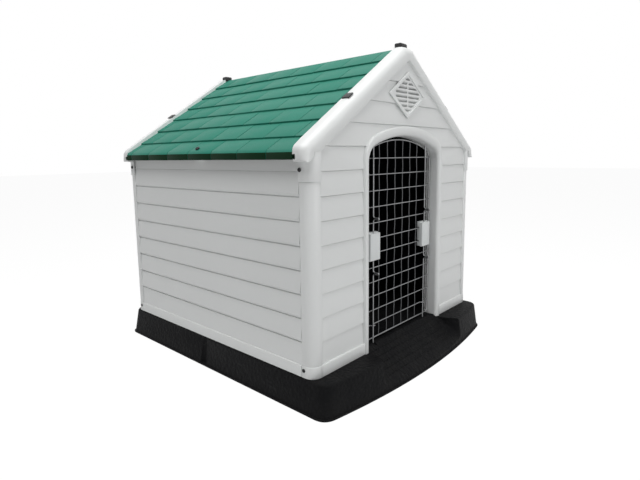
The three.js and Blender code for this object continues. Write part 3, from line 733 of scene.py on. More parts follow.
def makeArchCutter(offset, depth=0.2):
    half = arch["halfWidth"] + offset
    line = [(half, 0.02)] + archLine(offset) + [(-half, 0.02)]
    return pullOut("archCutter", [(x, house["front"] - depth / 2, z) for x, z in line],
                   (0, depth, 0))


vent = {"height": 0.808, "halfWidth": 0.099, "halfHeight": 0.067, "rim": 0.008, "rows": 8,
        "rowPitch": 0.0126, "overlap": 0.006, "plug": 0.0068, "paneInset": 0.0045,
        "bridgeHalf": 0.0032, "slatDepth": 0.036, "slatGap": 0.0064, "slatTilt": -30,
        "plate": 0.0042, "plugDepth": 0.012, "recess": 0.0024}


def ventOutline(inset):
    scale = 1 - inset / (vent["halfHeight"] * math.cos(math.atan2(
        vent["halfHeight"], vent["halfWidth"])))
    wide, high = vent["halfWidth"] * scale, vent["halfHeight"] * scale
    return [(-wide, vent["height"]), (0, vent["height"] - high), (wide, vent["height"]),
            (0, vent["height"] + high)]


def makeGableBoards(name):
    wide = boards["frontHalf"]
    line = boardOutline(trim["peak"], boards["proud"], boards["frontRound"], boards["frontGap"])
    outline = [(house["front"] + d, z) for d, z in line]
    back = house["front"] + boards["back"]
    outline += [(back, trim["peak"]), (back, house["floor"])]
    panel = pullOut(name, [(-wide, y, z) for y, z in outline], (2 * wide, 0, 0))
    for side in (-1, 1):
        normal = Vector((side * house["roofSlope"], 0, 1)).normalized()
        cutBeyond(panel, (0, 0, trim["innerPeak"] + trim["boardsUnder"]), normal)
    opening = ventOutline(vent["overlap"])
    hole = pullOut("hole", [(x, house["front"] - 0.05, z) for x, z in opening], (0, 0.1, 0))
    return carve(panel, hole)


def makeGableWall(name, hasDoor):
    panel = makeGableBoards(name)
    parts = [panel, makeRakeTrim("trim"), makePosts("posts")]
    if hasDoor:
        carve(panel, makeArchCutter(arch["boardsUnder"]))
        surround = makeArchSurround("surround")
        height = arch["socketHeight"]
        hole = startShape("hole", "cylinder", vertices=16, radius=rodLine["holeRadius"],
                          depth=arch["holeDepth"], location=(rodLine["x"], rodLine["y"], height))
        slot = startShape("slot", "cube", size=1, location=(-rodLine["x"], arch["slotY"], height),
                          scale=(rodLine["slotWidth"], arch["slotRun"], arch["slotHeight"]))
        carve(surround, hole)
        carve(surround, slot)
        parts.append(surround)
    return joinUp(name, *parts)


# bounds of the painted shade inside the house
insideShade = {"halfWidth": 0.4135, "halfLength": 0.4275, "ridge": 0.925, "doorHalf": 0.25,
          "doorBack": -0.3595, "facing": 0.3}


def paintInsideShade(piece):  # the faces that look into the house get painted shade, near-black for the shadow inside; the real inside is the same white plastic
    piece.data.materials.append(wallWhite)
    piece.data.materials.append(paintedShadeInside)
    piece.data.update()
    backOfBoards = house["rear"] - boards["back"] - middleY
    for face in piece.data.polygons:
        x, y, z = face.center
        along = abs(y - middleY)
        within = abs(x) < insideShade["halfWidth"] and along < insideShade["halfLength"]
        onBack = abs(along - backOfBoards) < 0.0005
        underRoof = z < insideShade["ridge"] - house["roofSlope"] * abs(x)
        nearDoor = y < insideShade["doorBack"] and abs(x) < insideShade["doorHalf"]
        inwardX = face.normal.x * (-1 if x > 0 else 1)
        inwardY = face.normal.y * (1 if y < middleY else -1)
        looksIn = max(inwardX, inwardY) > insideShade["facing"]
        if (within or onBack) and underRoof and not nearDoor and looksIn:
            face.material_index = 1


frontWall = makeGableWall("frontWall", True)
paintInsideShade(frontWall)
finishPiece(frontWall, "house", wallWhite, "wall_plastic", "front_wall")
rearWall = makeGableWall("rearWall", False)
rearWall.data.transform(turnRound())
paintInsideShade(rearWall)
finishPiece(rearWall, "house", wallWhite, "wall_plastic", "rear_wall")
rightWall = makeSideWall("rightWall")
leftWall = copyOf(rightWall, "leftWall", turnRound())
for wall, node in ((rightWall, "right_wall"), (leftWall, "left_wall")):
    paintInsideShade(wall)
    finishPiece(wall, "house", wallWhite, "wall_plastic", node)
print("walls made")


# Roof

roof = {
    "eave": 0.447, "course": 0.0786, "courses": 7, "lap": 0.002, "skin": 0.007,
    "fasciaBottom": 0.629, "fasciaThickness": 0.006, "front": -0.3777,
    "rear": 0.4477, "tab": 0.114, "gap": 0.0018, "edge": 0.0009, "eaveShift": 0.1027,
    "firstShift": 0.061, "oddShift": 0.57, "pairShift": 0.19, "slip": 0.0007, "sink": 0.0004,
    "rise": 0.0003, "darkFrom": 0.4395, "darkTop": 0.6475, "shadeDrop": 0.0075,
}


def onSlope(down, height):  # a point of the right-hand slope, in x and z
    return (down * slopeCos + height * slopeSin,
            house["ridge"] - down * slopeSin + height * slopeCos)


def toneTab(piece, value):
    tone = piece.data.attributes.new("tabTone", "FLOAT", "POINT")
    tone.data.foreach_set("value", [value] * len(piece.data.vertices))


def makeShingle():  # one tab of the first course, drawn at the ridge
    lap, end = roof["lap"], roof["course"]
    line = [(-0.008, -0.005), (end - 0.0012, -0.005), (end, -0.0035), (end, lap - 0.0016)]
    line += [(end - 0.0005, lap - 0.0005), (end - 0.0016, lap), (-0.008, -lap - 0.0012)]
    places = [onSlope(d, h) for d, h in line]
    piece = pullOut("shingle", [(x, 0, z) for x, z in places], (0, roof["tab"] - roof["gap"], 0))
    return soften(piece, roof["edge"], 2, 60)


def makeEaveTab():  # the last course rolls over the eave and down the fascia
    start = roof["course"] * (roof["courses"] - 1)
    bend = roof["eave"] / slopeCos - 0.004
    line = [onSlope(start - 0.008, -0.005), onSlope(start - 0.008, -roof["lap"] - 0.0012)]
    line += [onSlope(bend - 0.004, roof["lap"] - 0.0002)]
    x, z = roof["eave"], house["ridge"] - roof["eave"] * house["roofSlope"]
    line += [(x - 0.0032, z + 0.0024), (x - 0.0008, z - 0.0016), (x, z - 0.0065)]
    line += [(x, roof["fasciaBottom"] + 0.0015), (x - 0.0015, roof["fasciaBottom"]),
             (x - roof["fasciaThickness"], roof["fasciaBottom"]),
             (x - roof["fasciaThickness"], z - 0.010)]
    piece = pullOut("eaveTab", [(x, 0, z) for x, z in line], (0, roof["tab"] - roof["gap"], 0))
    return soften(piece, roof["edge"], 2, 60)


def makeRoofSlope(name, seed):
    rng = random.Random(seed)
    inner = roof["eave"] - roof["fasciaThickness"]

    def under(x):
        return house["ridge"] - roof["skin"] / slopeCos - house["roofSlope"] * x

    outer = roof["eave"] - 0.003
    top = -roof["lap"] - 0.0016
    first = onSlope(0, top)
    last = onSlope(outer / slopeCos - 0.002, top)
    outline = [(0, under(0)), (0, first[1]), last, (outer, last[1] - 0.004),
               (outer, roof["fasciaBottom"] + 0.001), (inner, roof["fasciaBottom"] + 0.001),
               (inner, under(inner))]
    start = roof["front"]
    run = roof["rear"] - start
    parts = [pullOut(name, [(x, start + 0.0002, z) for x, z in outline], (0, run - 0.0004, 0))]
    toneTab(parts[0], 0.1)
    shingle, eaveTab = makeShingle(), makeEaveTab()
    for course in range(roof["courses"]):
        isEave = course == roof["courses"] - 1
        stagger = roof["oddShift"] * (course % 2) + roof["pairShift"] * (course // 2)
        shift = (roof["firstShift"] + stagger * roof["tab"]) % roof["tab"]
        if isEave:
            shift = roof["eaveShift"]
        y = roof["front"] - roof["tab"] + shift
        while y < roof["rear"] - 0.002:
            down = 0 if isEave else course * roof["course"]
            slip = rng.uniform(-roof["slip"], roof["slip"])
            lift = rng.uniform(-roof["sink"], roof["rise"])
            x = (down + slip) * slopeCos + lift * slopeSin
            z = -(down + slip) * slopeSin + lift * slopeCos
            place = Matrix.Translation((0 if isEave else x, y, 0 if isEave else z))
            tab = copyOf(eaveTab if isEave else shingle, "tab", place)
            toneTab(tab, rng.random())
            parts.append(tab)
            y += roof["tab"]
    bpy.data.objects.remove(shingle)
    bpy.data.objects.remove(eaveTab)
    piece = joinUp(name, *parts)
    cutBeyond(piece, (0, roof["front"], 0), (0, -1, 0))
    cutBeyond(piece, (0, roof["rear"], 0), (0, 1, 0))
    return cutBeyond(piece, (0.0002, 0, 0), (-1, 0, 0))


def paintRoof(piece):
    for material in (roofGreen, eaveShadeGreen, paintedShadeInside):
        piece.data.materials.append(material)
    for face in piece.data.polygons:
        x, _, z = face.center
        skinTop = house["ridge"] - abs(x) * house["roofSlope"]
        # fascia faces get the darker green as painted shade of the eave's vertical face
        if abs(x) > roof["darkFrom"] and z < roof["darkTop"]:
            face.material_index = 1
        # roof faces that look down into the house get painted shade, near-black for the shadow
        # inside
        elif face.normal.z < -0.4 and z < skinTop - roof["shadeDrop"]:
            face.material_index = 2


rightRoof = makeRoofSlope("rightRoof", 4)
leftRoof = copyOf(makeRoofSlope("leftRoof", 11), "leftSlope", mirrorX())
bpy.data.objects.remove(bpy.data.objects["leftRoof"])
leftRoof.name = leftRoof.data.name = "leftRoof"
for slope, node in ((rightRoof, "roof_right"), (leftRoof, "roof_left")):
    paintRoof(slope)
    finishPiece(slope, "house", roofGreen, "roof_plastic", node)
print("roof made")


# Floor tray

tray = {
    "halfWidth": 0.444, "front": -0.498, "rear": 0.501, "bow": 0.036, "corner": 0.035,
    "lip": 0.003, "lipHeight": 0.005, "draft": 0.03, "endDraft": 0.016, "edgeRound": 0.007,
    "shell": 0.005, "plateau": 0.093, "top": 0.0862, "hollowTop": 0.0807, "hollowRound": 0.004,
    "stepMiddle": 0.0865, "stepHeight": 0.013, "stepWidth": 0.823, "stepLength": 0.7894,
    "sillWidth": 0.3854, "sillRun": 0.060, "ribX": (-0.21, 0, 0.21), "ribY": (-0.24, 0.035, 0.31),
    "ribThickness": 0.004, "holeZ": 0.1015, "holeDepth": 0.03, "slotY": -0.394, "slotZ": 0.0915,
    "slotRun": 0.0282, "slotHeight": 0.010,
}
ramp = {"doorHalf": 0.196, "sweepHalf": 0.200, "mouthHalf": 0.256, "mouthY": -0.508,
        "topY": -0.388, "bottomY": -0.478, "bottomZ": 0.024, "cove": 0.014,
        "ribs": 5, "ribRadius": 0.0018, "ribMargin": 0.015}
groove = {"footRadius": 0.0175, "topRadius": 0.0255, "height": 0.114, "middleZ": 0.058,
          "outside": 0.004, "behindMiddle": 0.010, "wall": 0.005}


def bezierPoints(a, b, c, steps):
    turn = [i / steps for i in range(1, steps + 1)]
    return [tuple((1 - t) ** 2 * p + 2 * t * (1 - t) * q + t * t * r for p, q, r in zip(a, b, c))
            for t in turn]


def trayPlan(inset):
    half = tray["halfWidth"] - inset
    rear, front = tray["rear"] - inset, tray["front"] + inset
    radius = tray["corner"] - inset * 0.5
    start = half - radius
    corner = front + tray["bow"]
    control = corner + 2 * tray["bow"] / start * radius
    points = [(half, control + radius), (half, rear - radius)]
    points += bezierPoints((half, rear - radius), (half, rear), (start, rear), 8)
    points += [(-start, rear)]
    points += bezierPoints((-start, rear), (-half, rear), (-half, rear - radius), 8)
    points += [(-half, control + radius)]
    points += bezierPoints((-half, control + radius), (-half, control), (-start, corner), 8)
    points += bezierPoints((-start, corner), (0, front - tray["bow"]), (start, corner), 24)
    points += bezierPoints((start, corner), (half, control), (half, control + radius), 8)[:-1]
    return points


def drawIn(piece, height):  # the tray walls lean in as they rise
    openEdit(piece)
    choose(piece, "VERT", lambda v: v.co.z > height - 0.001)
    wide, long = (1 - tray[k] * height / house["floor"] for k in ("draft", "endDraft"))
    bpy.ops.transform.resize(value=(wide, long, 1), center_override=(0, 0, 0))
    closeEdit()


def makeTrayBlank(name, inset, bottom, top):
    points = trayPlan(inset)
    piece = pullOut(name, [(x, y, bottom) for x, y in points], (0, 0, top - bottom))
    drawIn(piece, top)
    return piece


def makeRampAir(name, wider, depth):  # the space over the ramp, which opens out to the front
    start, turn = (ramp["doorHalf"] + wider, ramp["topY"] - 0.012), ramp["sweepHalf"] + wider
    mouth = (ramp["mouthHalf"] + wider, ramp["mouthY"])
    side = [(start[0], ramp["topY"]), start]
    side += bezierPoints(start, (turn, mouth[1] * 0.6 + start[1] * 0.4), mouth, 8)
    side.append((mouth[0] + 0.030, mouth[1] - 0.025))
    plan = [(-x, y) for x, y in side] + side[::-1]
    piece = pullOut(name, [(x, y, -0.08) for x, y in plan], (0, 0, 0.22))
    drop, run = tray["plateau"] - ramp["bottomZ"], ramp["topY"] - ramp["bottomY"]
    slope = Vector((0, drop, -run)).normalized()
    foot = Vector((0, ramp["topY"], tray["plateau"] - depth))
    cutBeyond(piece, foot, slope)

    def onFoot(edge):  # the edges between the ramp and its side walls
        low = all(abs((v.co - foot).dot(slope)) < 0.0005 for v in edge.verts)
        return low and abs(edge.verts[0].co.y - edge.verts[1].co.y) > 0.001

    return roundOff(piece, onFoot, ramp["cove"], 5)


def makeGrooveCone(name, side, wider):  # the wider one keeps a wall and a foot round the groove
    place = (side * (tray["halfWidth"] + groove["outside"]), middleY + groove["behindMiddle"],
             tray["lipHeight"] + groove["middleZ"] - wider / 2)
    return startShape(name, "cone", vertices=32, radius1=groove["footRadius"] + wider,
                      radius2=groove["topRadius"] + wider, depth=groove["height"] + wider,
                      location=place)


def makeTray(name):
    body = makeTrayBlank(name, tray["lip"], 0.0005, tray["top"])
    topEdge = tray["top"] - 0.001
    roundOff(body, lambda e: all(v.co.z > topEdge for v in e.verts), tray["edgeRound"], 4)
    lip = pullOut("lip", [(x, y, 0) for x, y in trayPlan(0)], (0, 0, tray["lipHeight"]))
    soften(lip, 0.0015, 2, 60)
    carve(body, lip, "UNION")
    middle, high = tray["stepMiddle"], tray["stepHeight"]
    plateau = startShape("plateau", "cube", size=1, location=(0, middleY, middle),
                         scale=(tray["stepWidth"], tray["stepLength"], high))
    sill = startShape("sill", "cube", size=1, location=(0, ramp["topY"], middle),
                      scale=(tray["sillWidth"], tray["sillRun"], high))
    for block in (plateau, sill):
        carve(body, soften(block, 0.0015, 2, 60), "UNION")
    hollow = makeTrayBlank("hollow", tray["lip"] + tray["shell"], -0.02, tray["hollowTop"])
    ceiling = tray["hollowTop"] - 0.001
    roundOff(hollow, lambda e: all(v.co.z > ceiling for v in e.verts), tray["hollowRound"], 2)
    carve(hollow, makeRampAir("keep", 0.012, 0.007))
    for side in (-1, 1):
        carve(hollow, makeGrooveCone("keep", side, groove["wall"]))
    for x in tray["ribX"]:
        carve(hollow, startShape("rib", "cube", size=1, location=(x, 0, 0.04),
                                 scale=(tray["ribThickness"], 0.95, 0.14)))
    for y in tray["ribY"]:
        carve(hollow, startShape("rib", "cube", size=1, location=(0, y, 0.04),
                                 scale=(0.88, tray["ribThickness"], 0.14)))
    carve(body, hollow)
    carve(body, makeRampAir("air", 0, 0))
    for side in (-1, 1):
        carve(body, makeGrooveCone("groove", side, 0))
    carve(body, startShape("hole", "cylinder", vertices=16, radius=rodLine["holeRadius"],
                           depth=tray["holeDepth"],
                           location=(rodLine["x"], rodLine["y"], tray["holeZ"])))
    carve(body, startShape("slot", "cube", size=1,
                           location=(-rodLine["x"], tray["slotY"], tray["slotZ"]),
                           scale=(rodLine["slotWidth"], tray["slotRun"], tray["slotHeight"])))
    soften(body, 0.0022, 3, 38)
    drop = tray["plateau"] - ramp["bottomZ"]
    run = ramp["topY"] - ramp["bottomY"]
    parts = [body]
    for i in range(ramp["ribs"]):
        along = (i + 1) / (ramp["ribs"] + 0.7)
        rib = startShape("tread", "cylinder", vertices=16, radius=ramp["ribRadius"],
                         depth=2 * (ramp["doorHalf"] - ramp["ribMargin"]),
                         rotation=(0, math.pi / 2, 0),
                         location=(0, ramp["topY"] - run * along, tray["plateau"] - drop * along))
        parts.append(soften(rib, 0.0012, 2, 60))
    return joinUp(name, *parts)


floorTray = makeTray("floorTray")
finishPiece(floorTray, "house", trayBlack, "tray_plastic", "floor_tray", angle=30)
print("tray made")


# Vents, clips and bolts

def makeVent(name):
    front = house["front"]
    plate = pullOut(name, [(x, front - 0.001, z) for x, z in ventOutline(0)],
                    (0, vent["plate"], 0))
    plug = pullOut("plug", [(x, front + 0.001, z) for x, z in ventOutline(vent["plug"])],
                   (0, vent["plugDepth"], 0))
    carve(plate, plug, "UNION")
    recess = pullOut("recess", [(x, front - 0.01, z) for x, z in ventOutline(vent["rim"])],
                     (0, 0.01 + vent["recess"], 0))
    carve(plate, recess)
    inner = ventOutline(vent["rim"] + vent["paneInset"])
    pane = pullOut("pane", [(x, front - 0.02, z) for x, z in inner], (0, 0.06, 0))
    slats = []
    for i in range(vent["rows"]):
        z = vent["height"] + (i - (vent["rows"] - 1) / 2) * vent["rowPitch"]
        halves = (-1, 1) if 0 < i < vent["rows"] - 1 else (0,)
        for side in halves:
            wide = 0.06 if side else 0.10
            middle = side * (vent["bridgeHalf"] + wide / 2)
            slats.append(startShape("slat", "cube", size=1, location=(middle, front + 0.006, z),
                                    rotation=(math.radians(vent["slatTilt"]), 0, 0),
                                    scale=(wide, vent["slatDepth"], vent["slatGap"])))
    bars = joinUp("bars", *slats)
    carve(bars, pane, "INTERSECT")
    carve(plate, bars)
    return soften(plate, 0.0008, 2, 50)


frontVent = makeVent("frontVent")
rearVent = copyOf(frontVent, "rearVent", turnRound())
finishPiece(frontVent, "house", wallWhite, "wall_plastic", "front_vent")
finishPiece(rearVent, "house", wallWhite, "wall_plastic", "rear_vent")

clip = {"halfWidth": 0.014, "bottom": 0.9405, "seat": 0.9450, "top": 0.9572, "front": -0.3895,
        "legFront": -0.3700, "rear": -0.3640, "forward": 0.007, "lower": 0.0055}


def makeRidgeClip(name):  # bent down at the front over the rake trim
    front, top, seat = clip["front"], clip["top"], clip["seat"]
    line = [(clip["rear"], clip["bottom"]), (clip["rear"], top - 0.0025),
            (clip["rear"] - 0.0022, top), (front + 0.0065, top), (front + 0.0025, top - 0.0012),
            (front, top - 0.0045), (front, seat + 0.0015), (front + 0.0015, seat),
            (clip["legFront"], seat), (clip["legFront"], clip["bottom"])]
    piece = pullOut(name, [(-clip["halfWidth"], y, z) for y, z in line],
                    (2 * clip["halfWidth"], 0, 0))
    return soften(piece, 0.0014, 3, 50)


frontRidgeClip = makeRidgeClip("frontRidgeClip")
rearRidgeClip = copyOf(frontRidgeClip, "rearRidgeClip", turnRound())
finishPiece(frontRidgeClip, "house", clipBlack, "clip_plastic", "clip_front_ridge")
finishPiece(rearRidgeClip, "house", clipBlack, "clip_plastic", "clip_rear_ridge")
for end, forward in (("front", -clip["forward"]), ("rear", clip["forward"])):
    for side in ("left", "right"):
        node = f"clip_{end}_{side}"
        piece = refined(f"{end}{side.title()}Clip", node, 0.0022, 3)
        openEdit(piece)
        inward = clip["lower"] * (1 if side == "left" else -1)
        bpy.ops.transform.translate(value=(inward * slopeSin, forward, -clip["lower"] * slopeCos))
        closeEdit()
        finishPiece(piece, "house", clipBlack, "clip_plastic", node)

bolt = {"headRadius": 0.005, "head": 0.003, "shank": 0.003, "length": 0.017, "fromEnd": 0.032,
        "lower": 0.1056, "upper": 0.605}
eaveBolt = {"headRadius": 0.0065, "head": 0.004, "shank": 0.003, "length": 0.016, "down": 0.517}


def makeBolt(name, kind):  # along +X, with a domed, recessed head
    headRadius, head, shank, length = (kind[k] for k in ("headRadius", "head", "shank", "length"))
    piece = startShape(name, "cylinder", vertices=24, radius=headRadius, depth=head,
                       rotation=(0, math.pi / 2, 0), location=(0.0003 + head / 2, 0, 0))
    rim = 0.0003 + head
    roundOff(piece, lambda e: all(v.co.x > rim - 1e-5 for v in e.verts), head * 0.55, 4)
    openEdit(piece)
    choose(piece, "FACE", lambda f: f.normal.x > 0.99 and len(f.verts) > 12)
    bpy.ops.mesh.inset(thickness=headRadius * 0.12)
    bpy.ops.mesh.inset(thickness=headRadius * 0.05, depth=-head * 0.45)
    closeEdit()
    stem = startShape("stem", "cylinder", vertices=16, radius=shank, depth=length,
                      rotation=(0, math.pi / 2, 0), location=(0.0008 - length / 2, 0, 0))
    soften(stem, 0.0005, 2, 60)
    return joinUp(name, piece, stem)


wallBolt = makeBolt("wallBolt", bolt)
boltEnds = ((house["front"] + bolt["fromEnd"], "front"), (house["rear"] - bolt["fromEnd"], "rear"))
boltLevels = ((bolt["lower"], "lower", house["halfWidth"]),
              (bolt["upper"], "upper", house["halfWidth"] + post["capProud"]))
for side in (-1, 1):
    for y, end in boltEnds:
        for z, level, out in boltLevels:
            turn = Matrix.Rotation(math.pi, 4, "Z") if side < 0 else Matrix.Identity(4)
            sideName = "left" if side < 0 else "right"
            spot = Matrix.Translation((side * out, y, z)) @ turn
            piece = copyOf(wallBolt, f"{sideName}{end.title()}{level.title()}Bolt", spot)
            finishPiece(piece, "house", clipBlack, "bolt_plastic", f"bolt_{sideName}_{end}_{level}")
bpy.data.objects.remove(wallBolt)

rightEaveBolt = makeBolt("rightEaveBolt", eaveBolt)
lift = Matrix.Rotation(slopeAngle, 4, "Y") @ Matrix.Rotation(-math.pi / 2, 4, "Y")
spotX, spotZ = onSlope(eaveBolt["down"], roof["lap"])
rightEaveBolt.data.transform(Matrix.Translation((spotX, middleY, spotZ)) @ lift)
leftEaveBolt = copyOf(rightEaveBolt, "leftEaveBolt", turnRound())
finishPiece(rightEaveBolt, "house", clipBlack, "bolt_plastic", "bolt_eave_right")
finishPiece(leftEaveBolt, "house", clipBlack, "bolt_plastic", "bolt_eave_left")
print("vents, clips and bolts made")


# Door and latches

door = {
    "planeY": -0.375, "edge": 0.0095, "bottom": 0.103, "bottomRadius": 0.012,
    "rowPitch": 0.0423, "upperPitch": 0.0458, "lowerRows": 7, "rows": 12,
    "columnPitch": 0.0415, "columns": 6, "wireRadius": 0.0015, "frameRadius": 0.002,
    "sway": 0.0011, "swayStep": 0.0105, "loopFoot": 0.0078, "loopHead": 0.0042,
}
latch = {
    "rodRadius": 0.0020, "width": 0.048, "front": -0.391,
    "bottom": 0.339, "top": 0.421, "coverTop": 0.4175, "endWall": 0.005, "washerRadius": 0.0034,
    "leverOffset": 0.038, "leverReach": 0.0195, "leverGap": 0.0042, "leverRound": 0.0075,
    "rodTop": 0.671, "rodBottom": 0.0875, "coverRound": 0.0032, "panelInset": 0.0045,
    "grooveRadius": 0.0038, "boreRadius": 0.0023,
}


def bentWire(name, points, radius, material, closed=False, corners=4):
    line = bpy.data.curves.new(name, "CURVE")
    line.dimensions = "3D"
    line.bevel_depth = radius
    line.bevel_resolution = corners
    line.use_fill_caps = True
    spline = line.splines.new("POLY")
    spline.points.add(len(points) - 1)
    for point, place in zip(spline.points, points):
        point.co = (*place, 1)
    spline.use_cyclic_u = closed
    piece = bpy.data.objects.new(name, line)
    bpy.context.scene.collection.objects.link(piece)
    pickUp(piece)
    bpy.ops.object.convert(target="MESH")
    piece = bpy.context.object
    openEdit(piece)
    bpy.ops.mesh.remove_doubles(threshold=0.00001)
    bpy.ops.mesh.normals_make_consistent(inside=False)
    closeEdit()
    piece.data.materials.append(material)
    return piece


def easeCorners(points, radius, steps=4):  # a wire bends round its corners
    eased = [points[0]]
    for before, corner, after in zip(points, points[1:], points[2:]):
        a, b, c = Vector(before), Vector(corner), Vector(after)
        reach = min(radius, (a - b).length * 0.45, (c - b).length * 0.45)
        start = b + (a - b).normalized() * reach
        end = b + (c - b).normalized() * reach
        eased.append(tuple(start))
        eased += bezierPoints(tuple(start), tuple(b), tuple(end), steps)
    return eased + [points[-1]]


def rowHeight(row):
    upper = max(0, row - door["lowerRows"])
    return door["bottom"] + (row - upper) * door["rowPitch"] + upper * door["upperPitch"]


def makeDoorGrid(name):
    half = arch["halfWidth"] - door["edge"]
    r, low, y = door["bottomRadius"], door["bottom"], door["planeY"]
    frameLine = arcPoints(half - r, low + r, r, -90, 0, 5) + archLine(-door["edge"], None, (10, 24))
    frameLine += arcPoints(-half + r, low + r, r, 180, 270, 5)
    parts = [bentWire(name, [(x, y, z) for x, z in frameLine], door["frameRadius"], brightWire,
                      True)]
    for row in range(1, door["rows"] + 1):
        z = rowHeight(row)
        front = y - door["wireRadius"]
        reach = rodLine["y"] - latch["rodRadius"] - door["wireRadius"] - 0.001
        end = half - 0.003 if row == door["rows"] else half
        line = [(-end, front, z)]
        if row in (1, door["rows"]):  # the end wires loop round the latch rods
            for side in (-1, 1):
                rodX, foot, head = side * rodLine["x"], door["loopFoot"], door["loopHead"]
                line += [(rodX - foot, front, z), (rodX - head, reach, z),
                         (rodX + head, reach, z), (rodX + foot, front, z)]
        line.append((end, front, z))
        parts.append(bentWire("crossWire", easeCorners(line, 0.002, 3), door["wireRadius"],
                              brightWire))
    for column in range(door["columns"]):
        x = (column - (door["columns"] - 1) / 2) * door["columnPitch"]
        top = archHeight(x, -door["edge"])
        steps = int((top - low) / door["swayStep"])
        line = []
        for i in range(steps + 1):  # the uprights are sprung a little out of line
            z = low + (top - low) * i / steps
            sway = math.sin((z - low) / door["rowPitch"] * math.pi + 0.8 * column)
            line.append((x + door["sway"] * sway * min(1, i / 2, (steps - i) / 2),
                         y + 0.0009, z))
        # the uprights get the darker wire as painted shade, for they sit behind the cross wires
        parts.append(bentWire("upright", line, door["wireRadius"], shadedWire, corners=3))
    return joinUp(name, *parts)


doorGrid = makeDoorGrid("doorGrid")
finishPiece(doorGrid, "door", shadedWire, "door_wire", "door_grid", angle=60)


def makeRod(name, x, direction):
    upper = direction > 0
    end = latch["rodTop"] if upper else latch["rodBottom"]
    box = latch["top"] if upper else latch["bottom"]
    lever = box + direction * latch["leverOffset"]
    washer = box - direction * (latch["endWall"] + 0.0003)
    gap = latch["leverGap"] / 2 * direction
    y, tip = rodLine["y"], rodLine["y"] - latch["leverReach"]
    line = [(x, y, washer - 0.001 * direction), (x, y, lever - gap), (x, tip + 0.0006, lever - gap),
            (x, tip + 0.0006, lever + gap), (x, y, lever + gap), (x, y, end)]
    rod = bentWire(name, easeCorners(line, latch["leverRound"], 6), latch["rodRadius"], brightWire)
    disc = startShape("washer", "cylinder", vertices=24, radius=latch["washerRadius"],
                      depth=0.0025, location=(x, y, washer - 0.00125 * direction))
    soften(disc, 0.0004, 2, 60).data.materials.append(brightWire)
    return joinUp(name, rod, disc)


def makeLatchCover(name, x):
    wide, tall = latch["width"], latch["coverTop"] - latch["bottom"]
    back = rodLine["y"] - 0.00015
    deep = back - latch["front"]
    piece = startShape(name, "cube", size=1, scale=(wide, deep, tall),
                       location=(x, latch["front"] + deep / 2, latch["bottom"] + tall / 2))
    roundOff(piece, lambda e: all(v.co.y < back - 0.001 for v in e.verts), latch["coverRound"], 5)
    openEdit(piece)
    choose(piece, "FACE", lambda f: f.normal.y < -0.99 and f.calc_area() > 0.001)
    bpy.ops.mesh.inset(thickness=latch["panelInset"])
    bpy.ops.mesh.inset(thickness=0.0012, depth=0.0006)
    closeEdit()
    middle = (x, rodLine["y"], latch["bottom"] + tall / 2)
    carve(piece, startShape("groove", "cylinder", vertices=24, radius=latch["grooveRadius"],
                            depth=tall - 0.010, location=middle))
    carve(piece, startShape("bore", "cylinder", vertices=16, radius=latch["boreRadius"],
                            depth=tall + 0.01, location=middle))
    return piece


for side, x in (("left", -rodLine["x"]), ("right", rodLine["x"])):
    cover = makeLatchCover(f"{side}LatchCover", x)
    finishPiece(cover, "door", latchWhite, "latch_plastic", f"{side}_latch_cover")
    body = refined(f"{side}LatchBody", f"{side}_latch_body", 0.0009, 2)
    finishPiece(body, "door", latchWhite, "latch_plastic", f"{side}_latch_body")
    for level, direction in (("upper", 1), ("lower", -1)):
        rod = makeRod(f"{side}{level.title()}Rod", x, direction)
        finishPiece(rod, f"{side}_{level}_latch", shadedWire, "door_wire", f"{side}_{level}_rod",
                    angle=60)
    spring = frame["nodes"][f"{side}_latch_spring"]
    spring.data.materials.clear()
    spring.data.materials.append(springSteel)
print("door and latches made")


# Camera, lights and backdrop

view = {
    "place": (-1.2217, -1.1475, 0.6381), "azimuth": -48.108, "elevation": 7.902,
    "roll": -0.7385, "focalPixels": 469.17, "centreRow": 220.49, "pictureWidth": 640,
    "pictureHeight": 480, "sensorWidth": 36,
}


def placeCamera():
    az, el, roll = (math.radians(view[k]) for k in ("azimuth", "elevation", "roll"))
    back = Vector((math.sin(az) * math.cos(el), -math.cos(az) * math.cos(el), math.sin(el)))
    right = (-back).cross(Vector((0, 0, 1))).normalized()
    up = right.cross(-back)
    across = math.cos(roll) * right + math.sin(roll) * up
    upright = -math.sin(roll) * right + math.cos(roll) * up
    lens = bpy.data.cameras.new("camera")
    lens.sensor_width = view["sensorWidth"]
    lens.lens = view["focalPixels"] / view["pictureWidth"] * view["sensorWidth"]
    lens.shift_y = (view["centreRow"] - view["pictureHeight"] / 2) / view["pictureWidth"]
    lens.clip_start, lens.clip_end = 0.05, 60
    camera = bpy.data.objects.new("camera", lens)
    bpy.context.scene.collection.objects.link(camera)
    turn = Matrix((across, upright, back)).transposed()
    camera.matrix_world = Matrix.Translation(view["place"]) @ turn.to_4x4()
    bpy.context.scene.camera = camera


studio = {
    "worldStrength": 0.10, "overhead": 100.0, "overheadPlace": (-0.9, -0.5, 3.4),
    "overheadSize": 3.0, "frontFill": 27.5, "frontFillPlace": (0.4, -3.6, 1.5),
    "frontFillSize": 2.5, "aimHeight": 0.45, "floorGlow": 0.90, "glowStrength": 1.06,
}


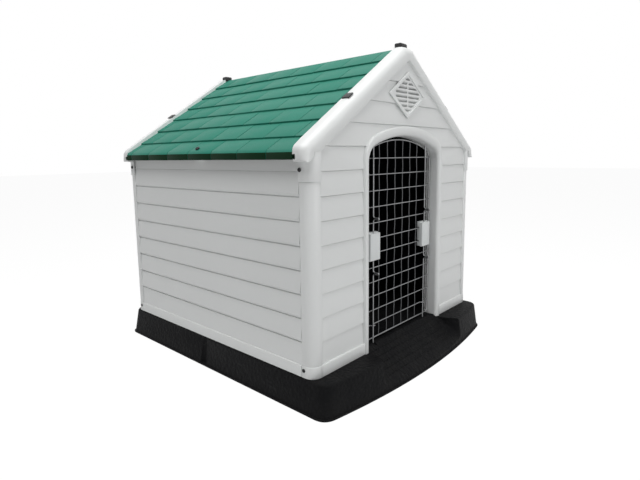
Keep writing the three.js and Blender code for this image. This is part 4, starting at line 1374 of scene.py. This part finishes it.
def addLamp(name, place, size, energy):
    lamp = bpy.data.lights.new(name, "AREA")
    lamp.shape, lamp.size, lamp.energy = "DISK", size, energy
    holder = bpy.data.objects.new(name, lamp)
    bpy.context.scene.collection.objects.link(holder)
    holder.location = place
    aim = Vector((0, 0, studio["aimHeight"])) - Vector(place)
    holder.rotation_euler = aim.to_track_quat("-Z", "Y").to_euler()


def seenDirectly(tree):  # 1 for what the camera, a gloss or a clear part sees
    path = addNode(tree, "ShaderNodeLightPath")
    either = addMath(tree, "MAXIMUM", path.outputs["Is Camera Ray"], path.outputs["Is Glossy Ray"])
    return addMath(tree, "MAXIMUM", either, path.outputs["Is Transmission Ray"])


def makeStage():
    world = bpy.data.worlds.new("studio")
    bpy.context.scene.world = world
    world.use_nodes = True
    tree = world.node_tree
    light = tree.nodes["Background"]
    light.inputs["Color"].default_value = (1, 1, 1, 1)
    seen = seenDirectly(tree)
    strength = addMath(tree, "ADD", addMath(tree, "MULTIPLY", seen, 1 - studio["worldStrength"]),
                       studio["worldStrength"])
    tree.links.new(strength, light.inputs["Strength"])
    floor = startShape("studioFloor", "plane", size=40, location=(0, 0, 0))
    paper = bpy.data.materials.new("studioPaper")
    paper.use_nodes = True
    tree = paper.node_tree
    matte = tree.nodes["Principled BSDF"]
    matte.inputs["Base Color"].default_value = (0.86, 0.86, 0.86, 1)
    matte.inputs["Roughness"].default_value = 0.9
    matte.inputs["Specular IOR Level"].default_value = 0.1
    glow = addNode(tree, "ShaderNodeEmission")
    glow.inputs["Color"].default_value = (1, 1, 1, 1)
    glow.inputs["Strength"].default_value = studio["glowStrength"]
    mix = addNode(tree, "ShaderNodeMixShader")
    tree.links.new(addMath(tree, "MULTIPLY", seenDirectly(tree), studio["floorGlow"]),
                   mix.inputs[0])
    tree.links.new(matte.outputs[0], mix.inputs[1])
    tree.links.new(glow.outputs[0], mix.inputs[2])
    tree.links.new(mix.outputs[0], tree.nodes["Material Output"].inputs["Surface"])
    floor.data.materials.append(paper)


placeCamera()
addLamp("overhead", studio["overheadPlace"], studio["overheadSize"], studio["overhead"])
addLamp("frontFill", studio["frontFillPlace"], studio["frontFillSize"], studio["frontFill"])
makeStage()
bpy.context.scene.view_settings.view_transform = "Standard"
print("camera and studio set")
